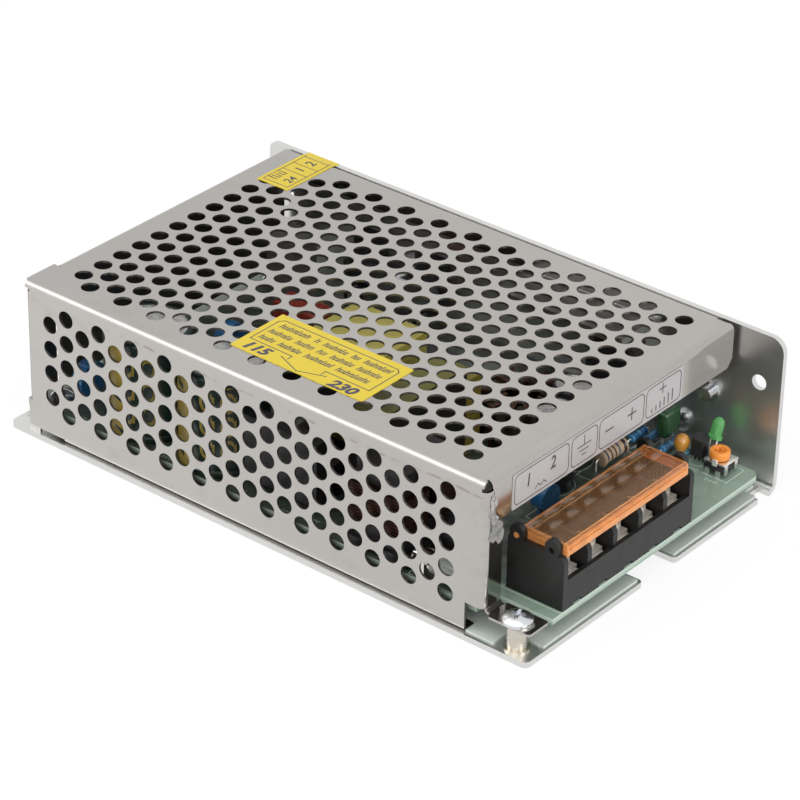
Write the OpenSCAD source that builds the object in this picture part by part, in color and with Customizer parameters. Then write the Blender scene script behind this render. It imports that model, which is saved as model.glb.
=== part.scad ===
// Mesh case switching power supply: a folded aluminium chassis, a perforated
// steel cover, and an open end with a five-pole terminal block.
// +X points to the terminal end, +Y to the tall chassis wall, +Z up.
// The origin is the middle of the base's underside.

/* [Chassis] */
// Overall length of the chassis
case_l = 159; // [156:1:190]
// Overall width of the chassis
case_w = 98; // [98:1:120]
// Overall height, to the top of the cover
case_h = 42; // [41.5:0.5:55]
// Thickness of the chassis sheet
chassis_t = 1.5; // [1.2:0.1:2]
// Inside radius of the fold between base and wall
chassis_bend_r = 1.5; // [1:0.1:2.5]
// How far the chassis wall ends below the top of the cover
wall_drop = 0.3; // [0.1:0.1:0.6]
// Radius of the wall's top corner at the open end
wall_corner_r = 3.8; // [1:0.1:6]
// Radius of the wall's top corner at the rear
wall_rear_r = 1.8; // [1:0.1:4]
// Radius of the base's free corners
base_corner_r = 1.6; // [0.5:0.1:3]
// Width of the notch in the base's front edge
notch_w = 12.5; // [8:0.5:16]
// Length of the notch in the base's front edge
notch_l = 12.5; // [10:0.5:20]
// Diameter of the wall's mounting holes
wall_hole_d = 4; // [3:0.1:5]
// Height of the wall's mounting holes
wall_hole_z = 28.5; // [24:0.1:32]
// Distance of the wall's mounting holes from the ends
wall_hole_inset = 6.15; // [5:0.05:8]
// Diameter of the tapped holes in the base
base_hole_d = 3.3; // [2.5:0.1:4.2]
// Spacing of the base's tapped holes along the length
base_hole_dx = 117; // [100:1:124]
// Spacing of the base's tapped holes across the width
base_hole_dy = 50; // [40:1:56]

/* [Perforated cover] */
// Thickness of the cover sheet
cover_t = 0.6; // [0.6:0.1:1]
// Inside radius of the cover's folds
cover_bend_r = 0.9; // [0.5:0.1:1.2]
// Setback of the cover's rear from the chassis end
cover_rear_inset = 5.6; // [4:0.1:9]
// Width of the flange folded from the near side at the rear
rear_flange_w = 9.4; // [6:0.2:10]
// Setback of the cover's front lip from the chassis end
cover_front_inset = 13.2; // [12.9:0.1:15]
// Setback of the cover's near side from the base's edge
cover_side_inset = 1.05; // [0.8:0.05:1.4]
// Height of the front lip over the terminals
lip_h = 11; // [9:0.1:11.2]
// Depth of the flange inside the chassis wall
far_flange_h = 7; // [6:0.5:7.5]
// Inside radius of the fold that lands on the base
foot_bend_r = 0.4; // [0.3:0.1:0.8]
// Width of the folded foot flange
foot_w = 3.6; // [3:0.1:4]
// Width of the fixing tab at the open end
tab_w = 7.2; // [6.8:0.1:7.6]
// Width of the tab's slot
tab_slot_w = 3.4; // [3.2:0.1:3.8]
// Length of the tab's slot
tab_slot_l = 8.6; // [6:0.1:9]

/* [Perforation] */
// Diameter of the vent holes
vent_d = 4.5; // [3:0.1:4.8]
// Pitch of the vent holes along a row
vent_pitch = 6.667; // [6.4:0.001:9]
// Distance between neighbouring rows
vent_row = 5.268; // [5:0.001:8]

/* [Circuit board] */
// Thickness of the board
board_t = 1.6; // [1.2:0.1:2]
// Height of the standoffs between base and board
standoff_h = 4.9; // [4.5:0.1:5.5]
// Diameter of the standoffs
standoff_d = 4.9; // [4.5:0.1:6]
// Thickness of the insulating sheet
sheet_t = 0.5; // [0.3:0.1:0.8]

/* [Terminal block] */
// Distance between neighbouring terminals
pole_pitch = 9.6; // [9:0.1:9.7]
// Depth of the terminal block
block_d = 15.8; // [15.6:0.1:16]
// Thickness of the block's partitions and end plates
rib_t = 1.6; // [1.4:0.1:1.8]
// Height of the block's partitions above the board
rib_h = 13.2; // [13:0.1:13.3]
// Height of the block's front wall above the board
block_wall_h = 7.7; // [7:0.1:8]
// Height of the hinge ears above the board
ear_h = 17.4; // [17.2:0.1:17.8]
// Diameter of the terminal cover's hinge pins
hinge_pin_d = 1.5; // [1.2:0.1:1.8]
// Thickness of the transparent terminal cover
flap_t = 0.9; // [0.8:0.1:1]
// Diameter of the terminal screws' heads
term_head_d = 6; // [5.4:0.1:6.4]
// Diameter of the terminal screws' shanks
term_shank_d = 3.4; // [3:0.1:3.6]
// Side of the square clamp washers
washer_w = 6.6; // [6.4:0.1:6.8]

/* [Large parts] */
// Diameter of the bulk capacitors
bulk_d = 22; // [18:0.5:22]
// Height of the bulk capacitors
bulk_h = 27; // [20:0.5:29]
// Diameter of the output capacitors
output_d = 10; // [8:0.5:10]
// Height of the output capacitors
output_h = 21; // [16:0.5:25]
// Length of the transformer's core
core_l = 32; // [30:0.5:32]
// Width of the transformer's core
core_w = 30; // [28:0.5:30]
// Outside diameter of the output inductor's core
toroid_d = 20; // [17:0.5:20]
// Thickness of the heat sink
sink_t = 3; // [2:0.1:3.5]

/* [Hidden] */
$fn = 48;
eps = 0.01;          // overlap of solids that form one piece
film_t = 0.15;       // thickness of the printed labels
poles = 5;           // number of terminals

// ends and faces of the chassis
x_front = case_l / 2;
x_rear = -case_l / 2;
y_near = -case_w / 2;
y_far = case_w / 2;
wall_y = y_far - chassis_t;
base_z = chassis_t;
fold_o = chassis_bend_r + chassis_t;
relief_l = 3;
relief_w = 4.7;
notch_y = 1.05;

// faces of the cover
cover_x0 = x_rear + cover_rear_inset;
cover_x1 = x_front - cover_front_inset;
side_y = y_near + cover_side_inset;
far_y = wall_y - 0.2;
cover_z = case_h;
wall_top = case_h - wall_drop;
cover_o = cover_bend_r + cover_t;
foot_o = foot_bend_r + cover_t;
sheet_z = base_z + sheet_t;
lip_z = cover_z - lip_h;
lip_y0 = side_y + 2;
lip_y1 = far_y - 1.27;
rear_y0 = side_y + 11.3;
foot_x0 = cover_x0 + 11.8;
foot_x1 = cover_x1 - 5.2;
notch_top = base_z + 7.8;

// levels of the circuit board
board_z = base_z + standoff_h;
top_z = board_z + board_t;
board_x0 = x_rear + 3.5;
board_x1 = x_front - 0.6;
board_y0 = side_y + 2.1;
board_y1 = wall_y - 5.2;
corner_x = x_front - 16.5;
corner_y = y_near + 10;

// fixing tab of the cover, held by a screw in a tall standoff
tab_z = top_z + cover_t;
tab_bend_r = 1.2;
tab_x1 = x_front - 0.1;
tab_screw_x = x_front - 5.65;
tab_screw_y = side_y + 2.8;
tab_slot_x = x_front - 1.2 - tab_slot_l;
flange_w = 6.2;
flange_x = cover_x1 - cover_t;
screw_d = 3;
bore_d = 3.1;

// standoffs under the board
standoffs = [
    [board_x0 + 6.5, board_y0 + 5],
    [board_x0 + 6.5, board_y1 - 5],
    [x_front - 62, board_y1 - 4.5],
    [x_front - 22, board_y0 + 11],
];

// terminal block
block_x1 = x_front - 0.7;
block_x0 = block_x1 - block_d;
block_y0 = y_near + 13.6;
block_l = poles * pole_pitch + rib_t;
block_floor = top_z + 5;
front_wall_t = 1.2;
rear_wall_t = 1.4;
plate_t = 1.2;
washer_t = 1;
head_h = 2.7;
plate_z = block_floor + plate_t;
washer_z = plate_z + washer_t;
rib_z = top_z + rib_h;
ear_z = top_z + ear_h;
ear_r = 1.9;
term_x = block_x0 + 9.5;
fit = 0.05;          // radial clearance of pins and shanks
pivot_x = block_x0 + 2.3;
pivot_z = ear_z - 2.7;
front_ear_x = pivot_x + 9.8;
flap_x0 = pivot_x - 0.3;
flap_x1 = block_x1 - 0.65;
flap_z = ear_z - 0.9;
flap_gap = 0.2;
flap_y0 = block_y0 + rib_t + flap_gap;
flap_l = block_l - 2 * rib_t - 2 * flap_gap;
skirt_h = 3.1;

// places of the parts on the board
trim_x = x_front - 8.6;
trim_y = wall_y - 10.9;
trim_z = top_z + 4;
bulk_y = side_y + 2.1 + bulk_d / 2;
bulk_x = [x_rear + 33.7, x_rear + 57.6];
core_x = -3.6;
core_y = -4.45;
core_z = top_z + 8;
core_h = 13;
winding_l = 22;
winding_w = 19;
selector_x = 1;
selector_y = side_y + 17.6;
selector_z = top_z + 9;
choke_x = x_front - 46.4;
choke_y = side_y + 13.15;
toroid_x = x_front - 55;
toroid_y = board_y1 - 21.8;
toroid_h = 9;
wire_d = 1.2;
sink_x0 = x_front - 75;
sink_x1 = x_front - 37;
sink_z0 = top_z + 4;
sink_z1 = cover_z - far_flange_h - 0.9;
sink_flange_w = 13;
pair_x = x_rear + 44.5;
pair_dx = 20;

// ---------- helpers ----------

function bay_y(i) = block_y0 + rib_t / 2 + pole_pitch * (i + 0.5);

// extrudes an outline of Y and Z along X
module along_x(x0, l) {
    translate([x0, 0, 0]) rotate([90, 0, 90]) linear_extrude(l) children();
}

// extrudes an outline of X and Z along Y
module along_y(y0, l) {
    translate([0, y0 + l, 0]) rotate([90, 0, 0]) linear_extrude(l) children();
}

// extrudes an outline of X and Y upwards
module along_z(z0, l) {
    translate([0, 0, z0]) linear_extrude(l) children();
}

// rectangle from corner p, with rounded corners
module round_rect(p, size, r) {
    translate([p[0] + r, p[1]]) square([size[0] - 2 * r, size[1]]);
    translate([p[0], p[1] + r]) square([size[0], size[1] - 2 * r]);
    for (x = [p[0] + r, p[0] + size[0] - r])
        for (y = [p[1] + r, p[1] + size[1] - r])
            translate([x, y]) circle(r);
}

// quarter of a ring for a fold, in the quadrant given by the signs sx and sy
module fold(centre, ri, t, sx, sy) {
    translate(centre) intersection() {
        difference() {
            circle(ri + t);
            circle(ri);
        }
        translate([min(sx, 0) * (ri + t + 1), min(sy, 0) * (ri + t + 1)]) square(ri + t + 1);
    }
}

module block(p, size) {
    translate(p) cube(size);
}

// box standing on z, centred on x and y
module standing(x, y, z, size) {
    translate([x - size[0] / 2, y - size[1] / 2, z]) cube(size);
}

module slot_2d(x0, x1, y, w) {
    translate([x0 + w / 2, y - w / 2]) square([x1 - x0 - w, w]);
    translate([x0 + w / 2, y]) circle(w / 2);
    translate([x1 - w / 2, y]) circle(w / 2);
}

module lead(x, y, z1, r = 0.35) {
    translate([x, y, top_z]) cylinder(h = z1 - top_z, r = r);
}

// staggered vent holes: rows along the second axis, every other row shorter
module vents(x0, y0, rows, n, swap) {
    for (k = [0:1:rows - 1]) {
        long = (k % 2 == 1);
        for (j = [0:1:n - (long ? 1 : 2)])
            translate([x0 + k * vent_row, y0 + (j + (long ? 0 : 0.5)) * vent_pitch])
                circle(vent_d / 2);
    }
}

// pan head screw that stands on its head's underside at the origin
module pan_screw(head_d, head_h, shank_d, shank_l, recess) {
    dome = head_d * 0.75;
    difference() {
        union() {
            intersection() {
                cylinder(h = head_h, d = head_d);
                translate([0, 0, head_h - dome]) sphere(dome);
            }
            translate([0, 0, -shank_l]) cylinder(h = shank_l + eps, d = shank_d);
        }
        for (a = [0, 90])
            rotate(a) translate([-recess / 2, -recess / 9, head_h * 0.45])
                cube([recess, recess / 4.5, head_h]);
    }
}

// flat power transistor against a plate at y, its tab's top at z
module flat_transistor(x, y, z) {
    block([x - 5.1, y - 1.3, z - 15.5], [10.2, 1.3, 15.5]);
    block([x - 5.1, y - 4.5, z - 15.5], [10.2, 3.2 + eps, 9]);
    for (i = [-1:1]) {
        block([x + i * 2.54 - 0.4, y - 7.6, z - 16.1], [0.8, 6, 0.6 + eps]);
        block([x + i * 2.54 - 0.4, y - 7.6, top_z], [0.8, 0.5, z - 16.1 - top_z + eps]);
    }
}

// resistor lying along Y, with its leads bent down to the board
module lying_resistor(x, y0, y1, d, z, overhang = 1.4) {
    w = 0.5;
    translate([x, y0, z]) rotate([-90, 0, 0]) cylinder(h = y1 - y0, d = d);
    for (s = [0, 1]) {
        y = s == 0 ? y0 - overhang : y1 + overhang - w;
        block([x - w / 2, y, top_z], [w, w, z - top_z + w / 2]);
        block([x - w / 2, s == 0 ? y : y1 - eps, z - w / 2], [w, overhang + eps, w]);
    }
}

// coated disc on two leads, facing X
module disc_x(x, y, z, d, t) {
    translate([x - t / 2, y, z]) rotate([0, 90, 0]) cylinder(h = t, d = d);
    for (s = [-1, 1]) lead(x, y + s * 2.5, z, 0.35);
}

// ---------- chassis ----------

module base_outline() {
    flat_y = y_far - fold_o;
    y0 = flat_y - relief_w;
    difference() {
        union() {
            round_rect([x_rear, y_near], [case_l, case_w / 3], base_corner_r);
            translate([x_rear, y_near + case_w / 6])
                square([case_l, y0 - y_near - case_w / 6]);
            translate([x_rear + relief_l, y0 - eps])
                square([case_l - 2 * relief_l, relief_w + 2 * eps]);
        }
        notch(notch_w, notch_l, 1);
        for (sx = [-1, 1])
            for (sy = [-1, 1])
                translate([sx * base_hole_dx / 2, sy * base_hole_dy / 2])
                    circle(base_hole_d / 2);
    }
}

// open notch in the front edge, with rounded mouth corners
module notch(w, l, r) {
    translate([x_front - l + w / 2, notch_y]) circle(w / 2);
    translate([x_front - l + w / 2, notch_y - w / 2]) square([l - w / 2 + 1, w]);
    for (s = [-1, 1])
        difference() {
            translate([x_front - r, notch_y + s * (w / 2 + r / 2) - r / 2])
                square([r + 1, r]);
            translate([x_front - r, notch_y + s * (w / 2 + r)]) circle(r);
        }
}

module wall_outline() {
    r = wall_corner_r;
    q = wall_rear_r;
    difference() {
        union() {
            translate([x_rear, fold_o]) square([case_l, wall_top - fold_o - r]);
            translate([x_rear + q, fold_o]) square([case_l - q - r, wall_top - fold_o]);
            translate([x_rear, fold_o]) square([q + eps, wall_top - fold_o - q]);
            translate([x_front - r, wall_top - r]) circle(r);
            translate([x_rear + q, wall_top - q]) circle(q);
        }
        for (x = [x_rear + wall_hole_inset, x_front - wall_hole_inset])
            translate([x, wall_hole_z]) circle(wall_hole_d / 2);
    }
}

module chassis() {
    color([0.80, 0.80, 0.80]) difference() {
        union() {
            along_z(0, chassis_t) base_outline();
            along_x(x_rear, case_l)
                fold([y_far - fold_o, fold_o], chassis_bend_r, chassis_t, 1, -1);
            along_y(wall_y, chassis_t) wall_outline();
        }
        for (p = cover_screw_x)
            translate([p, y_far, cover_screw_z]) rotate([90, 0, 0]) {
                translate([0, 0, -1]) cylinder(h = chassis_t + 2, d = bore_d);
                cylinder(h = 1.3, r1 = 2.85, r2 = 1.55);
            }
    }
}

cover_screw_x = [x_rear + 27, x_front - 34];
cover_screw_z = cover_z - 4;

// ---------- perforated cover ----------

module top_outline() {
    x0 = cover_x0 + 8.73;
    y0 = side_y + 8.11;
    rows = floor((cover_x1 - 10 - x0) / vent_row) + 1;
    n = floor((far_y - 4.5 - y0) / vent_pitch) + 1;
    difference() {
        union() {
            translate([cover_x0 + cover_o, side_y + cover_o])
                square([cover_x1 - cover_x0 - 2 * cover_o, far_y - side_y - 2 * cover_o]);
            // the near rear corner stays flat
            translate([cover_x0 - 0.5, side_y + cover_o])
                square([cover_o + 1, rear_y0 - side_y - cover_o - 0.5]);
        }
        vents(x0, y0, rows, n);
    }
}

module side_outline() {
    x0 = cover_x0 + 8.24;
    z0 = base_z + 8.08;
    rows = floor((cover_x1 - 9.9 - x0) / vent_row) + 1;
    n = floor((cover_z - 4.3 - z0) / vent_pitch) + 1;
    difference() {
        union() {
            translate([cover_x0 + 0.2, base_z + foot_o])
                square([cover_x1 - cover_x0 - 0.2 - cover_o, cover_z - base_z - foot_o - cover_o]);
            translate([cover_x0 + 0.2, base_z]) square([3.4, foot_o + eps]);
        }
        translate([foot_x0 - 8, 0]) square([8, base_z + foot_o]);
        translate([foot_x1, 0]) square([30, notch_top]);
        // room for the fold of the rear flange
        translate([cover_x0 + 0.2 - eps, top_z + 1.6])
            square([cover_o + eps, cover_z - top_z - 1.6]);
        vents(x0, z0, rows, n);
    }
    translate([foot_x0 - 8, base_z + 1]) square([8 + eps, foot_o]);
}

module rear_outline() {
    translate([rear_y0, top_z + 1.6])
        square([lip_y1 - rear_y0, cover_z - cover_o - top_z - 1.6]);
}

module lip_outline() {
    polygon([
        [lip_y0, cover_z - cover_o + eps], [lip_y1, cover_z - cover_o + eps],
        [lip_y1, lip_z + 2.2], [lip_y1 - 1.88, lip_z], [side_y + 3.05, lip_z],
        [side_y + 2.6, cover_z - 3],
    ]);
}

module flange_outline() {
    polygon([
        [side_y + cover_o, tab_z + tab_bend_r - eps],
        [side_y + flange_w, tab_z + tab_bend_r - eps],
        [side_y + flange_w, lip_z - 1.2], [side_y + 2.4, lip_z - 1.2],
        [side_y + 2.4, cover_z - 2.4], [side_y + cover_o, cover_z - 2.4],
    ]);
}

module tab_outline() {
    difference() {
        union() {
            translate([cover_x1 + tab_bend_r - eps, side_y - 0.2])
                round_rect([0, 0], [tab_x1 - cover_x1 - tab_bend_r + eps, tab_w], 0.8);
            translate([cover_x1 + tab_bend_r - eps, side_y + 0.9])
                square([2, flange_w - 0.9]);
        }
        slot_2d(tab_slot_x, tab_slot_x + tab_slot_l, tab_screw_y, tab_slot_w);
    }
}

module perforated_cover() {
    o = cover_o;
    r = cover_bend_r;
    t = cover_t;
    color([0.78, 0.77, 0.75]) difference() {
        union() {
            // top and near side
            along_z(cover_z - t, t) top_outline();
            along_x(cover_x0 + 0.2, cover_x1 - cover_x0 - 1.2)
                fold([side_y + o, cover_z - o], r, t, -1, 1);
            along_y(side_y, t) side_outline();
            along_x(foot_x0, foot_x1 - foot_x0)
                fold([side_y + foot_o, base_z + foot_o], foot_bend_r, t, -1, -1);
            block([foot_x0, side_y + foot_o - eps, base_z],
                [foot_x1 - foot_x0, foot_w - foot_o, t]);
            // front lip
            along_y(lip_y0, lip_y1 - lip_y0)
                fold([cover_x1 - o, cover_z - o], r, t, 1, 1);
            along_x(flange_x, t) lip_outline();
            // rear panel
            along_y(rear_y0, lip_y1 - rear_y0)
                fold([cover_x0 + o, cover_z - o], r, t, -1, 1);
            along_x(cover_x0, t) rear_outline();
            // rear flange of the near side
            along_z(top_z + 1.6, cover_z - 4 - top_z)
                fold([cover_x0 + 0.2 + o, side_y + o], r, t, -1, -1);
            block([cover_x0 + 0.2, side_y + o - eps, top_z + 1.6],
                [t, rear_flange_w - o, cover_z - 4 - top_z]);
            // flange inside the chassis wall
            along_x(cover_x0 + 1, cover_x1 - cover_x0 - 6)
                fold([far_y - o, cover_z - o], r, t, 1, 1);
            block([cover_x0 + 1, far_y - t, cover_z - far_flange_h],
                [cover_x1 - cover_x0 - 6, t, far_flange_h - o + eps]);
            // front flange and fixing tab
            along_z(notch_top, cover_z - 2.4 - notch_top)
                fold([cover_x1 - o, side_y + o], r, t, 1, -1);
            along_x(flange_x, t) flange_outline();
            along_y(side_y + 0.9, flange_w - 0.9)
                fold([cover_x1 + tab_bend_r, tab_z + tab_bend_r], tab_bend_r, t, -1, -1);
            along_z(top_z, t) tab_outline();
        }
        for (p = cover_screw_x)
            translate([p, far_y + 1, cover_screw_z]) rotate([90, 0, 0])
                cylinder(h = t + 2, d = bore_d);
    }
}

// ---------- board, sheet and fasteners ----------

module insulating_sheet() {
    m = 0.9;
    flat_y = wall_y - chassis_bend_r - 1;
    color([0.9, 0.9, 0.88, 0.8]) along_z(base_z, sheet_t) difference() {
        translate([x_rear + m, side_y + 0.3])
            square([case_l - 2 * m, flat_y - side_y - 0.3]);
        // room for the cover's foot
        translate([x_rear, y_near])
            square([foot_x1 + 0.3 - x_rear, side_y + foot_w + 0.3 - y_near]);
        translate([tab_screw_x - 4.6, y_near - 1]) square([20, tab_screw_y + 4.6 - y_near]);
        notch(notch_w + 2 * m, notch_l + m, 1);
        translate([x_front - m - relief_l, flat_y - 3.6]) square([10, 8]);
        translate([x_rear - 10 + m + relief_l, flat_y - 3.6]) square([10, 8]);
        for (p = standoffs) translate(p) circle(standoff_d / 2 + 0.6);
        for (sx = [-1, 1])
            for (sy = [-1, 1])
                translate([sx * base_hole_dx / 2, sy * base_hole_dy / 2])
                    circle(base_hole_d / 2 + 1.2);
    }
}

module circuit_board() {
    c = 1.6;
    color([0.30, 0.45, 0.30]) along_z(board_z, board_t) difference() {
        polygon([
            [board_x0, board_y0], [corner_x, board_y0], [corner_x, corner_y],
            [board_x1, corner_y], [board_x1, board_y1 - c], [board_x1 - c, board_y1],
            [board_x0, board_y1],
        ]);
        for (p = standoffs) translate(p) circle(bore_d / 2);
    }
}

module tall_standoff() {
    color([0.75, 0.68, 0.52]) translate([tab_screw_x, tab_screw_y, base_z]) difference() {
        union() {
            cylinder(h = top_z - base_z, d = standoff_d);
            cylinder(h = 0.5, d = standoff_d + 1.3);
        }
        translate([0, 0, 0.6]) cylinder(h = top_z, d = bore_d);
    }
}

module board_standoffs() {
    color([0.75, 0.68, 0.52]) for (p = standoffs)
        translate([p[0], p[1], base_z]) difference() {
            cylinder(h = standoff_h, d = standoff_d);
            translate([0, 0, 0.6]) cylinder(h = standoff_h, d = bore_d);
        }
}

module board_screws() {
    color([0.75, 0.75, 0.75]) for (p = standoffs)
        translate([p[0], p[1], top_z]) pan_screw(5.6, 2.1, screw_d, 4.5, 2.8);
}

module tab_screw() {
    color([0.8, 0.8, 0.8]) translate([tab_screw_x, tab_screw_y, tab_z]) rotate(20) {
        pan_screw(7.2, 2.2, screw_d, 5.5, 3.6);
    }
}

module cover_screws() {
    color([0.75, 0.75, 0.75]) for (p = cover_screw_x)
        translate([p, y_far, cover_screw_z]) rotate([90, 0, 0]) difference() {
            union() {
                cylinder(h = 1.3, r1 = 2.8, r2 = screw_d / 2);
                cylinder(h = 4.6, d = screw_d);
            }
            for (a = [45, 135])
                rotate(a) translate([-1.4, -0.3, -1]) cube([2.8, 0.6, 1.7]);
        }
}

// ends of the fasteners that hold things to the wall
module wall_screws() {
    color([0.78, 0.78, 0.76]) {
        translate([x_front - 19.6, wall_y, base_z + 19.55]) rotate([90, 0, 0]) {
            cylinder(h = 2.6, d = 3.6);
            cylinder(h = 0.6, d = 5.2);
        }
        translate([x_front - 27.1, wall_y, base_z + 8.7]) rotate([90, 0, 0])
            intersection() {
                cylinder(h = 1.9, d = 5.6);
                translate([0, 0, -2.5]) sphere(4.4);
            }
    }
}

// ---------- terminal block ----------

// front part of an end plate: rounded ears with a shoulder in front
module end_outline() {
    shoulder_z = rib_z + 0.6;
    r = 1.5;
    difference() {
        union() {
            translate([block_x0, top_z]) square([block_d, shoulder_z - top_z - r]);
            round_rect([block_x0, top_z + 4], [block_d, shoulder_z - top_z - 4], r);
            translate([block_x0, shoulder_z - 3]) square([2, 3]);
            for (x = [pivot_x, front_ear_x]) {
                translate([x - ear_r, top_z + 5]) square([2 * ear_r, ear_z - ear_r - top_z - 5]);
                translate([x, ear_z - ear_r]) circle(ear_r);
            }
        }
        translate([pivot_x, pivot_z]) circle(hinge_pin_d / 2 + fit);
        translate([front_ear_x, pivot_z]) circle(hinge_pin_d / 2);
    }
}

module rib_outline() {
    x1 = block_x1 - 0.6;
    r = 2.6;
    translate([block_x0, top_z]) square([block_d, block_wall_h]);
    translate([block_x0, top_z]) square([x1 - block_x0 - r, rib_h]);
    translate([block_x0, top_z]) square([x1 - block_x0, rib_h - r]);
    translate([x1 - r, rib_z - r]) circle(r);
}

module terminal_block() {
    color([0.09, 0.09, 0.10]) difference() {
        union() {
            for (y = [block_y0, block_y0 + block_l - rib_t]) along_y(y, rib_t) end_outline();
            for (i = [1:poles - 1]) along_y(block_y0 + i * pole_pitch, rib_t) rib_outline();
            block([block_x0, block_y0, top_z], [block_d, block_l, block_floor - top_z]);
            block([block_x0, block_y0, top_z], [rear_wall_t, block_l, rib_h - 0.9]);
            block([block_x1 - front_wall_t, block_y0, top_z],
                [front_wall_t, block_l, block_wall_h]);
        }
        for (i = [0:poles - 1]) {
            translate([term_x, bay_y(i), top_z + 0.5])
                cylinder(h = 10, r = term_shank_d / 2 + fit + 0.3);
            standing(block_x1, bay_y(i), top_z - 1, [2.4, 3, 1.7]);
        }
    }
}

module terminal_plates() {
    color([0.80, 0.78, 0.72]) for (i = [0:poles - 1]) difference() {
        x0 = block_x0 + rear_wall_t;
        block([x0, bay_y(i) - 3.2, block_floor], [block_x1 - 2.2 - x0, 6.4, plate_t]);
        translate([term_x, bay_y(i), block_floor - 1])
            cylinder(h = plate_t + 2, r = term_shank_d / 2 + fit);
    }
}

module clamp_washer(i) {
    s = washer_w;
    color([0.78, 0.77, 0.73]) difference() {
        union() {
            standing(term_x, bay_y(i), plate_z, [s, s, washer_t]);
        }
        for (j = [-1, 1]) standing(term_x, bay_y(i) + j * 2.6, plate_z - 1, [s + 1, 0.5, 1.3]);
        translate([term_x, bay_y(i), plate_z - 1])
            cylinder(h = washer_t + 2, r = term_shank_d / 2 + fit);
    }
}

module terminal_screw(i) {
    d = term_head_d;
    color([0.76, 0.75, 0.73]) translate([term_x, bay_y(i), washer_z]) difference() {
        union() {
            intersection() {
                cylinder(h = head_h, d = d);
                translate([0, 0, head_h - d * 1.1]) sphere(d * 1.1);
            }
            translate([0, 0, -5.6]) cylinder(h = 5.6 + eps, d = term_shank_d);
        }
        rotate(25 + 37 * i) {
            for (a = [0, 90])
                rotate(a) translate([-1.7, -0.45, head_h - 1.5]) cube([3.4, 0.9, 2]);
            translate([-d, -0.3, head_h - 0.8]) cube([2 * d, 0.6, 2]);
        }
    }
}

module flap_outline() {
    r = 1;
    round_rect([flap_x0, flap_z - 2 * r], [flap_x1 - flap_x0, 2 * r], r - 0.05);
    translate([flap_x0, flap_z - skirt_h]) square([flap_x1 - flap_x0, skirt_h - r]);
}

module terminal_cover() {
    t = flap_t;
    color([0.85, 0.45, 0.12, 0.55]) {
        difference() {
            along_y(flap_y0, flap_l) flap_outline();
            along_y(flap_y0 + t, flap_l - 2 * t)
                translate([flap_x0 - 1, flap_z - skirt_h - 1])
                    square([flap_x1 - flap_x0 + 1 - t, skirt_h + 1 - t]);
        }
        // stiffening ribs on the top and on the front apron
        block([flap_x0 + 2.6, flap_y0 + 1.2, flap_z - eps], [0.8, flap_l - 2.4, 0.5]);
        block([flap_x1 - eps, flap_y0 + 1, flap_z - 1.9], [0.35, flap_l - 2, 0.6]);
        for (y = [flap_y0 - flap_gap - rib_t, flap_y0 + flap_l - eps])
            translate([pivot_x, y, pivot_z]) rotate([-90, 0, 0])
                cylinder(h = rib_t + flap_gap + eps, d = hinge_pin_d);
    }
}

// ---------- labels ----------

module legend_label() {
    color([0.88, 0.88, 0.88]) along_x(cover_x1, film_t)
        round_rect([side_y + 9.02, lip_z + 0.15], [64.33, lip_h - cover_o - 0.4], 0.4);
}

module voltage_label() {
    color([0.90, 0.85, 0.30]) along_z(cover_z, film_t)
        round_rect([-16.7, side_y + 9.3], [39.7, 18.75], 0.4);
}

// lies on the cover and hangs down to the top of the wall
module date_label() {
    y1 = far_y - cover_o + 0.5;
    color([0.90, 0.88, 0.40]) along_x(cover_x0 + 6.4, 10) polygon([
        [far_y - 18.6, cover_z], [y1, cover_z], [wall_y, wall_top], [y_far - 0.1, wall_top],
        [y_far - 0.1, wall_top + film_t], [wall_y, wall_top + film_t],
        [y1 + 0.05, cover_z + film_t], [far_y - 18.6, cover_z + film_t],
    ]);
}

// ---------- small parts at the open end ----------

module trimmer_body() {
    color([0.16, 0.16, 0.17]) {
        for (s = [-1, 1]) standing(trim_x, trim_y + s * 2.6, top_z, [5.2, 1, 1.2 + eps]);
        standing(trim_x, trim_y, top_z + 1.2, [5.4, 6.4, 2]);
        along_z(top_z + 3.2 - eps, trim_z - top_z - 3.2 + eps) difference() {
            round_rect([trim_x - 2.5, trim_y - 3.1], [5, 6.2], 0.8);
            translate([trim_x, trim_y]) circle(0.8 + fit);
        }
    }
}

module trimmer_rotor() {
    color([0.85, 0.35, 0.12]) translate([trim_x, trim_y, trim_z]) difference() {
        union() {
            cylinder(h = 2.1, d = 4.8);
            translate([0, 0, -0.75]) cylinder(h = 0.75 + eps, r = 0.8);
        }
        rotate(35) for (a = [0, 90])
            rotate(a) translate([-1.5, -0.4, 1.1]) cube([3, 0.8, 2]);
    }
}

module indicator_lamp() {
    x = x_front - 14;
    y = wall_y - 5.3;
    z = top_z + 4.3;
    color([0.15, 0.65, 0.30, 0.7]) {
        translate([x, y, z]) rotate([-20, 0, 0]) {
            cylinder(h = 0.9, d = 3.7);
            cylinder(h = 4, d = 3);
            translate([0, 0, 4]) sphere(1.5);
        }
        for (s = [-1, 1]) lead(x + s * 0.9, y - 0.8, z + 0.7, 0.28);
    }
}

module small_transistor() {
    x = x_front - 15;
    y = wall_y - 9.8;
    color([0.08, 0.08, 0.08]) {
        intersection() {
            translate([x, y, top_z + 1.6]) cylinder(h = 4.6, d = 4.4);
            block([x - 3, y - 1.5, top_z], [6, 5, 10]);
        }
        for (s = [-1, 0, 1]) lead(x + s * 1.2, y, top_z + 1.7, 0.25);
    }
}

module bead_capacitor() {
    x = x_front - 18.6;
    y = wall_y - 12.3;
    color([0.80, 0.50, 0.15]) {
        translate([x, y, top_z + 4.5]) sphere(1.6);
        for (s = [-1, 1]) lead(x - 1.05, y + s * 0.9, top_z + 4, 0.22);
    }
}

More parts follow.
